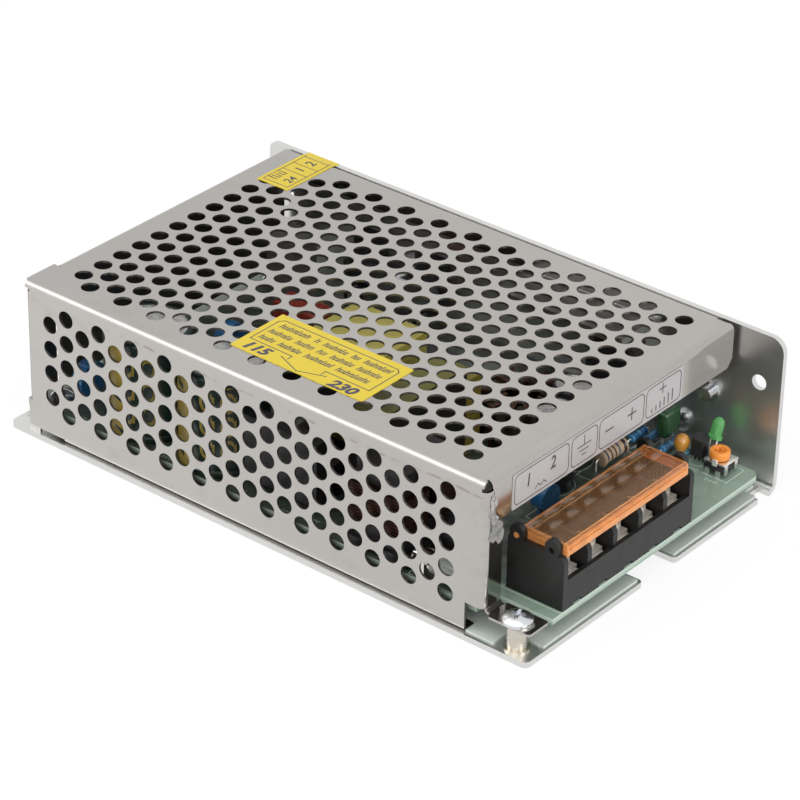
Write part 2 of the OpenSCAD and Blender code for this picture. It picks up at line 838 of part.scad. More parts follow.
module small_resistors() {
    color([0.35, 0.55, 0.70]) {
        lying_resistor(x_front - 23.1, wall_y - 14.1, wall_y - 7.4, 2.2, top_z + 1.5);
        lying_resistor(x_front - 18.3, wall_y - 13.6, wall_y - 9.6, 2, top_z + 1.3, 0.9);
        lying_resistor(x_front - 31.6, wall_y - 14.9, wall_y - 8.7, 2.2, top_z + 1.5);
        lying_resistor(x_front - 28.6, wall_y - 13.1, wall_y - 8.2, 2.2, top_z + 1.5);
    }
}

module power_resistor() {
    color([0.75, 0.68, 0.55])
        lying_resistor(x_front - 30.6, wall_y - 32.5, wall_y - 19.5, 4.5, top_z + 2.8);
}

module film_capacitor() {
    x = x_front - 25.9;
    y = wall_y - 7.6;
    color([0.15, 0.35, 0.20]) {
        standing(x, y, top_z + 2, [3, 6.4, 7]);
        for (s = [-1, 1]) lead(x, y + s * 2, top_z + 2.2, 0.3);
    }
}

module varistor() {
    color([0.12, 0.30, 0.60]) disc_x(x_front - 28.7, notch_y - 6.05, top_z + 4.6, 7, 3.4);
}

// ---------- mains side ----------

module fuse() {
    y = side_y + 5.35;
    z = top_z + 3.6;
    x0 = x_front - 36.2;
    l = 20;
    color([0.80, 0.80, 0.80]) {
        translate([x0, y, z]) rotate([0, 90, 0]) cylinder(h = l, d = 5);
        for (x = [x0 + 1.2, x0 + l - 4.2]) {
            difference() {
                standing(x + 1.5, y, top_z, [3, 6.2, 5.4]);
                translate([x - 1, y, z]) rotate([0, 90, 0]) cylinder(h = 6, d = 4.9);
                standing(x + 1.5, y, z, [5, 4, 5]);
            }
        }
    }
}

module thermistor() {
    color([0.10, 0.13, 0.11]) disc_x(x_front - 32, side_y + 15.6, top_z + 6, 9, 4);
}

module choke_core() {
    color([0.10, 0.10, 0.11]) {
        standing(choke_x, choke_y, top_z, [18, 20, 2.5]);
        difference() {
            standing(choke_x, choke_y, top_z + 2.5 - eps, [14, 18, 21]);
            standing(choke_x, choke_y, top_z + 8, [15, 8, 10]);
        }
    }
}

module choke_windings() {
    color([0.70, 0.35, 0.15]) for (s = [-1, 1])
        translate([choke_x, choke_y + s * 6.5, top_z + 8.2]) difference() {
            standing(0, 0, 0, [17, 9, 9.6]);
            standing(0, 0, -1, [14, 5, 14]);
        }
}

module bridge_rectifier() {
    color([0.08, 0.08, 0.08]) {
        block([-9, side_y + 5.6, top_z + 3], [22, 4.4, 17]);
        for (i = [0:3]) lead(-5.5 + 5 * i, side_y + 7.8, top_z + 3 + eps, 0.5);
    }
}

module can(x, y, d, h) {
    translate([x, y, top_z]) {
        cylinder(h = h - 0.5, d = d);
        cylinder(h = h, d = d - 1.4);
    }
}

module bulk_capacitors() {
    color([0.12, 0.20, 0.14]) for (x = bulk_x) can(x, bulk_y, bulk_d, bulk_h);
}

module output_capacitors() {
    color([0.08, 0.08, 0.09]) {
        can(x_front - 35, notch_y + 5, output_d, output_h);
        can(x_front - 38.3, notch_y + 16.6, output_d, output_h);
    }
}

// ---------- transformers, selector and smaller parts ----------

module transformer_core() {
    color([0.10, 0.10, 0.10]) {
        difference() {
            standing(core_x, core_y, core_z, [core_l, core_w, core_h]);
            standing(core_x, core_y, core_z - 1, [winding_l, winding_w, core_h + 2]);
        }
        standing(core_x, core_y, top_z, [winding_l + 3, winding_w + 3, 2]);
    }
}

module transformer_winding() {
    color([0.90, 0.78, 0.15]) along_z(top_z + 2, 26)
        round_rect([core_x - winding_l / 2, core_y - winding_w / 2], [winding_l, winding_w], 1);
}

module driver_transformer() {
    color([0.65, 0.50, 0.15]) {
        standing(x_front - 62.5, 5.6, top_z, [8, 6.4, 2 + eps]);
        standing(x_front - 62.5, 5.6, top_z + 2, [7.4, 6, 18]);
    }
}

module line_capacitor() {
    color([0.60, 0.50, 0.20]) {
        block([x_front - 66.4, side_y + 17.15, top_z + 0.5], [9, 32, 25]);
        for (y = [side_y + 20, side_y + 47]) lead(x_front - 61.9, y, top_z + 1, 0.4);
    }
}

module disc_capacitors() {
    color([0.15, 0.35, 0.65]) {
        disc_x(x_rear + 28, 0.4, top_z + 6, 9, 3.4);
        disc_x(x_rear + 15.1, side_y + 11.4, top_z + 6, 9, 3.4);
    }
}

module snubber_capacitor() {
    color([0.85, 0.45, 0.15]) disc_x(x_rear + 38, wall_y - 25.3, top_z + 6, 8, 3);
}

module blocking_capacitor() {
    color([0.65, 0.15, 0.12]) {
        standing(x_rear + 40, wall_y - 33.3, top_z + 1, [14, 7, 13]);
        for (s = [-1, 1]) lead(x_rear + 40 + s * 5, wall_y - 33.3, top_z + 1 + eps);
    }
}

module cement_resistor() {
    color([0.88, 0.87, 0.84]) {
        standing(x_rear + 24.2, wall_y - 19.4, top_z + 1, [9, 9, 22]);
        for (s = [-1, 1]) lead(x_rear + 24.2 + s * 2.5, wall_y - 19.4, top_z + 1 + eps, 0.4);
    }
}

module selector_body() {
    color([0.12, 0.12, 0.12]) difference() {
        standing(selector_x, selector_y, top_z, [18, 10, selector_z - top_z]);
        standing(selector_x, selector_y, selector_z - 2, [9, 4, 3]);
    }
}

module selector_slider() {
    color([0.75, 0.12, 0.10]) {
        standing(selector_x - 1.5, selector_y, selector_z - 2, [5.8, 3.9, 2]);
        standing(selector_x - 1.5, selector_y, selector_z - eps, [3.4, 2.4, 2.2]);
    }
}

module switching_transistors() {
    color([0.10, 0.10, 0.10]) for (s = [-0.5, 0.5])
        flat_transistor(pair_x + s * pair_dx, wall_y, sink_z1 - 5.1);
}

module transistor_clamp() {
    z = sink_z1 - 18.6;
    color([0.75, 0.75, 0.75]) {
        block([pair_x - pair_dx / 2 - 5, wall_y - 5.5, z], [pair_dx + 10, 1, 5]);
        translate([pair_x, wall_y, z + 2.5]) rotate([90, 0, 0]) {
            cylinder(h = 7.6, d = 3);
            translate([0, 0, 5.5]) cylinder(h = 2.1, d = 5.6);
        }
    }
}

module heat_sink() {
    color([0.75, 0.76, 0.77]) {
        block([sink_x0, wall_y - sink_t, sink_z0], [sink_x1 - sink_x0, sink_t, sink_z1 - sink_z0]);
        block([sink_x0, wall_y - sink_flange_w, sink_z1 - 2],
            [sink_x1 - sink_x0, sink_flange_w - sink_t + eps, 2]);
    }
}

module output_rectifier() {
    color([0.09, 0.09, 0.09])
        flat_transistor(sink_x1 - 9, wall_y - sink_t, sink_z1 - 5.1);
}

module inductor_core() {
    color([0.75, 0.70, 0.20])
        translate([toroid_x, toroid_y, top_z + wire_d]) difference() {
            cylinder(h = toroid_h, d = toroid_d);
            translate([0, 0, -1]) cylinder(h = toroid_h + 2, d = 11);
        }
}

module inductor_winding() {
    w = toroid_d / 2 - 5.5;
    color([0.75, 0.38, 0.15]) translate([toroid_x, toroid_y, top_z])
        for (i = [0:13]) rotate(i * 24) difference() {
            block([5.5 - wire_d, -wire_d / 2, 0], [w + 2 * wire_d, wire_d, toroid_h + 2 * wire_d]);
            block([5.45, -wire_d, wire_d - 0.02], [w + 0.15, 2 * wire_d, toroid_h + 0.04]);
        }
}

module control_chip() {
    x = x_rear + 58;
    y = wall_y - 34.9;
    color([0.08, 0.08, 0.08]) {
        standing(x, y, top_z + 0.6, [19.3, 6.4, 3.3]);
        for (i = [0:7])
            for (s = [-1, 1])
                standing(x - 8.9 + 2.54 * i, y + s * 3.5, top_z, [0.9, 0.6, 2.2]);
    }
}

// ---------- pieces ----------

chassis();
perforated_cover();
insulating_sheet();
circuit_board();
tall_standoff();
board_standoffs();
board_screws();
tab_screw();
cover_screws();
wall_screws();
terminal_block();
terminal_plates();
clamp_washer(0);  // clamp_washer_1
clamp_washer(1);  // clamp_washer_2
clamp_washer(2);  // clamp_washer_3
clamp_washer(3);  // clamp_washer_4
clamp_washer(4);  // clamp_washer_5
terminal_screw(0);  // terminal_screw_1
terminal_screw(1);  // terminal_screw_2
terminal_screw(2);  // terminal_screw_3
terminal_screw(3);  // terminal_screw_4
terminal_screw(4);  // terminal_screw_5
terminal_cover();
legend_label();
voltage_label();
date_label();
trimmer_body();
trimmer_rotor();
indicator_lamp();
small_transistor();
bead_capacitor();
small_resistors();
power_resistor();
film_capacitor();
varistor();
fuse();
thermistor();
choke_core();
choke_windings();
bridge_rectifier();
bulk_capacitors();
transformer_core();
transformer_winding();
driver_transformer();
line_capacitor();
disc_capacitors();
snubber_capacitor();
blocking_capacitor();
cement_resistor();
selector_body();
selector_slider();
switching_transistors();
transistor_clamp();
output_rectifier();
heat_sink();
inductor_core();
inductor_winding();
output_capacitors();
control_chip();
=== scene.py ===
"""Looks for the mesh case switching power supply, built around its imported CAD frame."""

import math

import bmesh
import bpy
from mathutils import Matrix, Vector, noise


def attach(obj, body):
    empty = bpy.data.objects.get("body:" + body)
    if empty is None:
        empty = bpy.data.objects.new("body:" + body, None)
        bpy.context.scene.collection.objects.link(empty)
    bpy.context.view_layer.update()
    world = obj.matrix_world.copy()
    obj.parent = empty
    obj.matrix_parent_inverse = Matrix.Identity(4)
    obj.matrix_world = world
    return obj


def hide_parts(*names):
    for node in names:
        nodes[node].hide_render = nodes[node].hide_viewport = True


MM = 0.001

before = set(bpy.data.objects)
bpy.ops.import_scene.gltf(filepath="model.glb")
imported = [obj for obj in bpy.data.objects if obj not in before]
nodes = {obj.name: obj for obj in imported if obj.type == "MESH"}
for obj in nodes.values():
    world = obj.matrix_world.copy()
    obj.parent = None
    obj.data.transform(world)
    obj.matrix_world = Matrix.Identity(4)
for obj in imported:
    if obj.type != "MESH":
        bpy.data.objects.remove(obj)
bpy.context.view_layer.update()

# faces of the CAD part that the added pieces are set on, in millimetres
LIP_X = 66.3
LABEL_X = 66.45
LABEL_TOP = 42.15
BOARD_TOP = 8.0

# middles of the round cans on the board, and the thickness of print on a label
BULK_CANS = ((-45.8, -34.85), (-21.9, -34.85))
OUTPUT_CANS = ((44.5, 6.05), (41.2, 17.65))
PRINT_T = 0.02

# the surround's strength where only its light counts, and how much the floor glows when seen
SURROUND_LIGHT = 0.62
FLOOR_GLOW = 0.86


# ---------------------------------------------------------------- shader maths


class Wire:
    """One output socket of a finish, for sums written as Python expressions."""

    def __init__(self, finish, socket):
        self.finish = finish
        self.socket = socket

    def sum_with(self, operation, first, second):
        return self.finish.node("ShaderNodeMath", {"operation": operation}, {0: first, 1: second})

    def __add__(self, other):
        return self.sum_with("ADD", self, other)

    def __radd__(self, other):
        return self.sum_with("ADD", other, self)

    def __sub__(self, other):
        return self.sum_with("SUBTRACT", self, other)

    def __rsub__(self, other):
        return self.sum_with("SUBTRACT", other, self)

    def __mul__(self, other):
        return self.sum_with("MULTIPLY", self, other)

    def __rmul__(self, other):
        return self.sum_with("MULTIPLY", other, self)

    def __truediv__(self, other):
        return self.sum_with("DIVIDE", self, other)

    def __rtruediv__(self, other):
        return self.sum_with("DIVIDE", other, self)

    def __gt__(self, other):
        return self.sum_with("GREATER_THAN", self, other)

    def __lt__(self, other):
        return self.sum_with("LESS_THAN", self, other)

    def at_most(self, other):
        return self.sum_with("MINIMUM", self, other)

    def at_least(self, other):
        return self.sum_with("MAXIMUM", self, other)

    def size(self):
        return self.sum_with("ABSOLUTE", self, 0.0)

    def wave(self):
        return self.sum_with("SINE", self, 0.0)

    def cycle(self, length):
        return self.sum_with("FLOORED_MODULO", self, length)

    def power(self, exponent):
        return self.sum_with("POWER", self, exponent)


class Graph:
    """The nodes of one finish or of the surround, all made by one method."""

    def __init__(self, tree):
        self.tree = tree
        self.place = None

    def plug(self, socket, value):
        if isinstance(value, Wire):
            self.tree.links.new(value.socket, socket)
        elif isinstance(value, (tuple, list)) and len(value) == 3 and socket.type == "RGBA":
            socket.default_value = (*value, 1.0)
        else:
            socket.default_value = value

    def node(self, kind, settings=None, sockets=None, out=0):
        made = self.tree.nodes.new(kind)
        for name, value in (settings or {}).items():
            setattr(made, name, value)
        for key, value in (sockets or {}).items():
            self.plug(made.inputs[key], value)
        return Wire(self, made.outputs[out])

    def span(self, value, low, high, to_low=0.0, to_high=1.0):
        return self.node(
            "ShaderNodeMapRange", {"clamp": True},
            {0: value, 1: low, 2: high, 3: to_low, 4: to_high},
        )

    def seen(self):
        """1 for what the camera sees, also in a mirror or through something clear."""
        rays = self.node("ShaderNodeLightPath").socket.node.outputs
        return Wire(self, rays["Is Camera Ray"]).at_least(
            Wire(self, rays["Is Glossy Ray"])).at_least(
            Wire(self, rays["Is Transmission Ray"]))


class Finish(Graph):
    """A procedural material of one shader, with the sums that steer it."""

    def __init__(self, name, colour, rough, metal=0.0, **constants):
        self.material = bpy.data.materials.new(name)
        self.material.use_nodes = True
        super().__init__(self.material.node_tree)
        self.shader = self.tree.nodes["Principled BSDF"]
        self.feed("Base Color", colour)
        self.feed("Roughness", rough)
        self.feed("Metallic", metal)
        for socket, value in constants.items():
            self.feed(socket.replace("_", " "), value)

    def feed(self, name, value):
        self.plug(self.shader.inputs[name], value)

    def spot(self):
        if self.place is None:
            self.place = self.node("ShaderNodeTexCoord", out=3)
        return self.place

    def axes(self):
        """X, Y and Z of the point, in millimetres."""
        split = self.node("ShaderNodeSeparateXYZ", sockets={0: self.spot()})
        return [Wire(self, split.socket.node.outputs[i]) * 1000.0 for i in range(3)]

    def grain(self, size_mm, detail=3.0, rough=0.55, stretch=(1, 1, 1), distort=0.0):
        """Smooth noise from 0 to 1 whose lumps are about size_mm."""
        vector = self.node(
            "ShaderNodeMapping", {"vector_type": "POINT"}, {0: self.spot(), 3: stretch}
        )
        return self.node(
            "ShaderNodeTexNoise",
            sockets={"Vector": vector, "Scale": 1000.0 / size_mm, "Detail": detail,
                     "Roughness": rough, "Distortion": distort},
        )

    def cells(self, size_mm, feature="F1"):
        return self.node(
            "ShaderNodeTexVoronoi", {"feature": feature},
            {"Vector": self.spot(), "Scale": 1000.0 / size_mm},
        )

    def between(self, value, low, high):
        return (value > low) * (value < high)

    def mix(self, first, second, factor):
        return self.node(
            "ShaderNodeMix", {"data_type": "RGBA"}, {0: factor, 6: first, 7: second}, out=2
        )

    def angle(self, across, ahead):
        """Angle round an upright axis, in radians."""
        return across.sum_with("ARCTAN2", across, ahead)

    def lay_over(self, second, factor):
        """Shows a second shader over the first where factor is 1."""
        both = self.node("ShaderNodeMixShader", sockets={
            0: factor, 1: Wire(self, self.shader.outputs[0]), 2: second})
        self.tree.links.new(both.socket, self.tree.nodes["Material Output"].inputs["Surface"])

    def bump(self, height, strength=0.3, depth_mm=0.1):
        self.feed("Normal", self.node(
            "ShaderNodeBump", sockets={"Strength": strength, "Distance": depth_mm * MM,
                                       "Height": height}))


# ---------------------------------------------------------------- mesh helpers


def mm(x, y, z):
    return Vector((x, y, z)) * MM


def slab(bm, low, high, bevel=0.0, segments=2, finish=0):
    """A box between two corners in millimetres, with its edges rounded."""
    low, high = mm(*low), mm(*high)
    size = high - low
    place = Matrix.Translation((low + high) / 2) @ Matrix.Diagonal((*size, 1))
    made = bmesh.ops.create_cube(bm, size=1.0, matrix=place)["verts"]
    faces = {f for v in made for f in v.link_faces}
    for face in faces:
        face.material_index = finish
    if bevel:
        edges = {e for v in made for e in v.link_edges}
        bmesh.ops.bevel(bm, geom=list(edges), offset=bevel * MM, offset_type="OFFSET",
                        segments=segments, profile=0.5, affect="EDGES", material=-1,
                        clamp_overlap=True)
    return made


def turned(bm, profile, centre, axis="z", steps=32, finish=0, bands=()):
    """A body turned round an axis from (radius, height) pairs in millimetres."""
    turn = {"z": Matrix.Identity(4),
            "y": Matrix.Rotation(math.radians(-90), 4, "X"),
            "x": Matrix.Rotation(math.radians(90), 4, "Y")}[axis]
    place = Matrix.Translation(mm(*centre)) @ turn
    points = [bm.verts.new(mm(r, 0, h)) for r, h in profile]
    edges = [bm.edges.new(pair) for pair in zip(points, points[1:])]
    made = bmesh.ops.spin(bm, geom=points + edges, cent=(0, 0, 0), axis=(0, 0, 1),
                          angle=math.tau, steps=steps, use_merge=True, use_duplicate=False)
    verts = {v for v in made["geom_last"] if isinstance(v, bmesh.types.BMVert)} | set(points)
    reach = set(v for v in verts if v.is_valid)
    front = list(reach)
    while front:
        for edge in front.pop().link_edges:
            for v in edge.verts:
                if v not in reach:
                    reach.add(v)
                    front.append(v)
    faces = {f for v in reach for f in v.link_faces}
    for face in faces:
        middle = face.calc_center_median().z / MM
        face.material_index = finish
        for low, high, index in bands:
            if low < middle < high:
                face.material_index = index
    bmesh.ops.remove_doubles(bm, verts=list(reach), dist=0.002 * MM)
    live = [v for v in reach if v.is_valid]
    faces = list({f for v in live for f in v.link_faces})
    bmesh.ops.recalc_face_normals(bm, faces=faces)
    bmesh.ops.transform(bm, matrix=place, verts=live)
    return live


def wire(bm, points, radius, sides=8, finish=0):
    """A round wire through points in millimetres, as a closed tube."""
    line = bpy.data.curves.new("wire_line", "CURVE")
    line.dimensions = "3D"
    line.bevel_depth = radius * MM
    line.bevel_resolution = max(0, sides // 4 - 1)
    line.use_fill_caps = True
    spline = line.splines.new("POLY")
    spline.points.add(len(points) - 1)
    for point, where in zip(spline.points, points):
        point.co = (*mm(*where), 1)
    holder = bpy.data.objects.new("wire_holder", line)
    bpy.context.scene.collection.objects.link(holder)
    mesh = bpy.data.meshes.new_from_object(holder)
    for face in mesh.polygons:
        face.material_index = finish
    bm.from_mesh(mesh)
    bpy.data.objects.remove(holder)
    bpy.data.curves.remove(line)
    bpy.data.meshes.remove(mesh)


def bent(points, radius=0.6, steps=4):
    """Points of a wire's line with its corners rounded."""
    way = [Vector(p) for p in points]
    out = [way[0]]
    for before, corner, after in zip(way, way[1:], way[2:]):
        into = (before - corner).normalized() * min(radius, (before - corner).length / 2)
        away = (after - corner).normalized() * min(radius, (after - corner).length / 2)
        for i in range(steps + 1):
            t = i / steps
            out.append(corner + into * (1 - t) ** 2 + away * t ** 2)
    return out + [way[-1]]


def make_piece(name, bm, finishes, body="case", replaces=(), smooth=35.0):
    mesh = bpy.data.meshes.new(name)
    bm.to_mesh(mesh)
    bm.free()
    piece = bpy.data.objects.new(name, mesh)
    bpy.context.scene.collection.objects.link(piece)
    for finish in finishes:
        mesh.materials.append(finish.material)
    mesh.set_sharp_from_angle(angle=math.radians(smooth))
    for polygon in mesh.polygons:
        polygon.use_smooth = True
    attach(piece, body)
    if replaces:
        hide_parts(*replaces)
    return piece


def print_sheet(bm, outline_mm, place):
    """Gives flat print drawn in the XY plane a thickness and puts it in place."""
    faces = [f for f in bm.faces]
    out = bmesh.ops.extrude_face_region(bm, geom=faces)
    moved = [v for v in out["geom"] if isinstance(v, bmesh.types.BMVert)]
    bmesh.ops.translate(bm, vec=(0, 0, outline_mm * MM), verts=moved)
    bmesh.ops.recalc_face_normals(bm, faces=bm.faces[:])
    bmesh.ops.transform(bm, matrix=place, verts=bm.verts[:])


def draw_plate(bm, x0, y0, x1, y1, radius=0.0, line=0.0):
    """A rounded rectangle in the XY plane: a frame if it has a line width, else filled."""
    corners = [bm.verts.new(mm(x, y, 0)) for x, y in ((x0, y0), (x1, y0), (x1, y1), (x0, y1))]
    face = bm.faces.new(corners)
    if radius:
        bmesh.ops.bevel(bm, geom=corners, offset=radius * MM, offset_type="OFFSET", segments=5,
                        profile=0.5, affect="VERTICES", material=-1)
        middle = mm((x0 + x1) / 2, (y0 + y1) / 2, 0)
        face = min((f for f in bm.faces if len(f.verts) > 8),
                   key=lambda f: (f.calc_center_median() - middle).length)
    if line:
        bm.normal_update()
        bmesh.ops.inset_region(bm, faces=[face], thickness=line * MM, depth=0,
                               use_even_offset=True, use_boundary=True)
        bmesh.ops.delete(bm, geom=[face], context="FACES_ONLY")


def draw_stroke(bm, x0, y0, x1, y1, line):
    """A straight line of ink in the XY plane."""
    start, end = mm(x0, y0, 0), mm(x1, y1, 0)
    along = (end - start).normalized() * line * MM / 2
    side = Vector((-along.y, along.x, 0))
    bm.faces.new([bm.verts.new(p) for p in (start - along - side, end + along - side,
                                            end + along + side, start - along + side)])


def draw_ring(bm, x, y, radius, line, steps=40):
    """A circle of ink in the XY plane."""
    hub = bmesh.ops.create_circle(bm, cap_ends=True, segments=steps, radius=radius * MM,
                                  matrix=Matrix.Translation(mm(x, y, 0)))["verts"]
    face = max({f for v in hub for f in v.link_faces}, key=lambda f: f.calc_area())
    bm.normal_update()
    bmesh.ops.inset_region(bm, faces=[face], thickness=line * MM, depth=0, use_even_offset=True,
                           use_boundary=True)
    bmesh.ops.delete(bm, geom=[face], context="FACES_ONLY")


def draw_figure(bm, figure, x, y, size, slant=0.0, stretch=1.0, bold=0.0, turn=0.0):
    """A plain figure in the XY plane, centred on x and y."""
    line = bpy.data.curves.new("figure_line", "FONT")
    line.body = figure
    line.size = size * MM
    line.shear = slant
    line.offset = bold * MM
    line.align_x = "CENTER"
    line.align_y = "CENTER"
    line.resolution_u = 3
    holder = bpy.data.objects.new("figure_holder", line)
    bpy.context.scene.collection.objects.link(holder)
    mesh = bpy.data.meshes.new_from_object(holder)
    mesh.transform(Matrix.Translation(mm(x, y, 0)) @ Matrix.Rotation(math.radians(turn), 4, "Z")
                   @ Matrix.Diagonal((stretch, 1, 1, 1)))
    bm.from_mesh(mesh)
    bpy.data.objects.remove(holder)
    bpy.data.curves.remove(line)
    bpy.data.meshes.remove(mesh)


def dress(finish, *names):
    """Gives CAD nodes a finish."""
    for name in names:
        mesh = nodes[name].data
        mesh.materials.clear()
        mesh.materials.append(finish.material)


def round_edges(width, *names, angle=40.0, segments=2):
    """Breaks the sharp edges of CAD nodes."""
    for name in names:
        weld = nodes[name].modifiers.new("join_faces", "WELD")
        weld.merge_threshold = 0.002 * MM
        edge = nodes[name].modifiers.new("break_edges", "BEVEL")
        edge.width = width * MM
        edge.segments = segments
        edge.limit_method = "ANGLE"
        edge.angle_limit = math.radians(angle)
        edge.harden_normals = False
        edge.use_clamp_overlap = True


# ---------------------------------------------------------------- finishes


def bright_sheet():
    """Plated steel of the cover: warm grey, rubbed and stained, with painted reflections that
    darken the top towards the back and lighten the near side, and hole edges painted dark, part
    bare cut steel and part painted shade.
    """
    f = Finish("bright_sheet", (0.5, 0.48, 0.45), 0.3, metal=1.0)
    x, y, z = f.axes()
    cloud = f.grain(26, 4, 0.6, (1, 1, 1.6))
    stain = f.span(f.grain(8, 5, 0.7, (0.5, 1, 1)), 0.55, 0.76)
    low = f.span(z, 11.0, 1.5)
    under_bend = f.between(z, 34.0, 40.6) * f.span(y, -47.0, -47.9)
    by_bend = f.span(y, -42.0, -46.0) * f.span(z, 41.5, 41.9)
    speck = f.span(f.grain(0.9, 2, 0.5), 0.68, 0.76)
    # a rusty rub line along the side under the bend, broken into dashes
    line_height = 36.6 + f.grain(30, 2) * 3.0
    rub = f.span((z - line_height).size(), 0.45, 0.05) * f.span(y, -47.0, -47.9)
    rub = rub * f.span(f.grain(5, 3, 0.6), 0.5, 0.62)
    front = f.span(x, 65.5, 65.75)
    # how far a point lies under the folded outside
    side = (-46.45 - y).at_least(0.0)
    top = (z - 40.5).at_least(0.0)
    lip = (x - 64.8).at_least(0.0)
    far = (y - 45.8).at_least(0.0)
    back = (-72.4 - x).at_least(0.0)
    under = (side * side + top * top + lip * lip + far * far + back * back).power(0.5)
    cut_edge_and_shade = f.span(under, 1.46, 1.40)
    dirt = (stain * (0.3 + low * 0.7 + under_bend * 0.5 + by_bend * 0.6)
            + speck * 0.18).at_most(1.0)
    # painted reflection: the top is painted darker towards the back end, standing in for the dimmer
    # surround it mirrors there
    painted_rear_shade = f.span(x, 40.0, -70.0) * 0.35
    base = f.mix((0.475, 0.458, 0.437), (0.415, 0.395, 0.368), cloud * 0.8)
    base = f.mix(base, (0.37, 0.36, 0.345), painted_rear_shade * f.span(z, 41.0, 41.9))
    # painted reflection: the near side is painted lighter, most towards the back end, standing in
    # for the pale floor it mirrors
    base = f.mix(base, (0.54, 0.52, 0.495),
                 f.span(y, -47.0, -47.9) * (0.35 + f.span(x, 20.0, -60.0) * 0.5))
    by_lip = f.span(x, 58.0, 65.0) * f.span(f.grain(3, 4, 0.6, (1, 0.15, 1)), 0.42, 0.7)
    base = f.mix(base, (0.30, 0.25, 0.20), (dirt * 0.5 + by_lip * 0.22).at_most(1.0))
    base = f.mix(base, (0.24, 0.13, 0.09), rub * 0.55)
    # the cut faces in the holes are painted dark: part the bare steel of the cut, part painted
    # shade inside the holes
    base = f.mix(base, (0.15, 0.14, 0.13), cut_edge_and_shade * 0.8)
    f.feed("Base Color", base)
    brush = f.grain(0.5, 3, 0.6, (0.02, 1, 1))
    rough = 0.25 + cloud * 0.1 + brush * 0.05 + dirt * 0.1
    bends = f.between(side, 0.02, 1.45) * 0.08
    f.feed("Roughness", (rough + bends) * (1 - front * 0.6))
    f.bump(brush * 0.25 + cloud * 0.6 + f.grain(120, 1, 0.5) * 3.0, 0.16, 0.05)
    return f


def satin_sheet():
    """Bare aluminium of the chassis, half mirror and rubbed all over."""
    f = Finish("satin_sheet", (0.60, 0.60, 0.59), 0.25, metal=1.0)
    cloud = f.grain(18, 4, 0.6)
    streak = f.grain(0.7, 3, 0.65, (0.03, 1, 1))
    smear = f.span(f.grain(7, 4, 0.65, (1, 1, 0.6)), 0.5, 0.72)
    base = f.mix((0.70, 0.70, 0.69), (0.60, 0.595, 0.585), cloud * 0.7 + smear * 0.3)
    f.feed("Base Color", base)
    f.feed("Roughness", 0.25 + cloud * 0.12 + streak * 0.08 + smear * 0.06)
    f.bump(streak * 0.4 + cloud, 0.1, 0.04)
    return f


def milky_film():
    f = Finish("milky_film", (0.70, 0.76, 0.72), 0.38, Transmission_Weight=0.25, IOR=1.45)
    wave = f.grain(14, 3, 0.5)
    f.feed("Base Color", f.mix((0.66, 0.73, 0.69), (0.78, 0.82, 0.79), wave))
    f.feed("Roughness", 0.3 + f.grain(2, 3) * 0.2)
    f.bump(wave, 0.25, 0.2)
    return f


def green_board():
    """Circuit board: pale green mask over copper at the open end, with painted shade making it dull
    and dark further in under the cover.
    """
    f = Finish("green_board", (0.20, 0.30, 0.22), 0.33, Coat_Weight=0.3)
    x, y, z = f.axes()
    top = f.span(z, 7.9, 7.98)
    edge = f.span(z, 6.5, 7.9) * (1 - top)
    tracks = f.span(f.cells(9.0, "DISTANCE_TO_EDGE"), 0.05, 0.07)
    weave = (x * 5.2).wave() * (y * 5.2).wave()
    mask = f.mix((0.205, 0.285, 0.222), (0.225, 0.312, 0.246), tracks)
    mask = f.mix(mask, (0.26, 0.35, 0.28), f.grain(5, 3) * 0.4)
    # painted shade: the mask is painted dark further in, under the cover, where little light
    # reaches
    inner = f.mix((0.045, 0.062, 0.052), (0.075, 0.09, 0.075), tracks)
    mask = f.mix(mask, inner, f.span(x, 63.0, 54.0) * 0.9)
    core = f.mix((0.40, 0.49, 0.42), (0.50, 0.57, 0.50), f.grain(0.4, 3, 0.6, (1, 1, 6)))
    f.feed("Base Color", f.mix(mask, core, edge))
    f.feed("Roughness", 0.3 + f.grain(3, 3) * 0.15 + edge * 0.25)
    f.bump(tracks * 0.5 + weave * 0.05, 0.3, 0.03)
    return f


def moulded(name, colour, rough=0.42, grain_mm=0.25, depth=0.02, worn=0.35, **more):
    """Moulded or dipped plastic with a fine skin and slightly dusty patches."""
    f = Finish(name, colour, rough, **more)
    dust = f.span(f.grain(5, 4, 0.65), 0.45, 0.8)
    pale = tuple(c + (0.5 - c) * 0.12 for c in colour)
    f.feed("Base Color", f.mix(colour, pale, dust * worn))
    f.feed("Roughness", rough + dust * 0.15 + f.grain(0.8, 2) * 0.06)
    f.bump(f.grain(grain_mm, 3, 0.6), 0.35, depth)
    return f


def plated(name, colour, rough=0.16, cloud_mm=2.5, tint=(0.42, 0.38, 0.32), amount=0.3,
           skin=0.2, metal=1.0):
    """Turned or stamped metal with a little tarnish."""
    f = Finish(name, colour, rough, metal=metal)
    tarnish = f.span(f.grain(cloud_mm, 4, 0.65), 0.48, 0.8)
    f.feed("Base Color", f.mix(colour, tint, tarnish * amount))
    f.feed("Roughness", rough + tarnish * 0.15 + f.grain(0.4, 2) * 0.04)
    f.bump(f.grain(0.35, 3, 0.6), skin, 0.02)
    return f


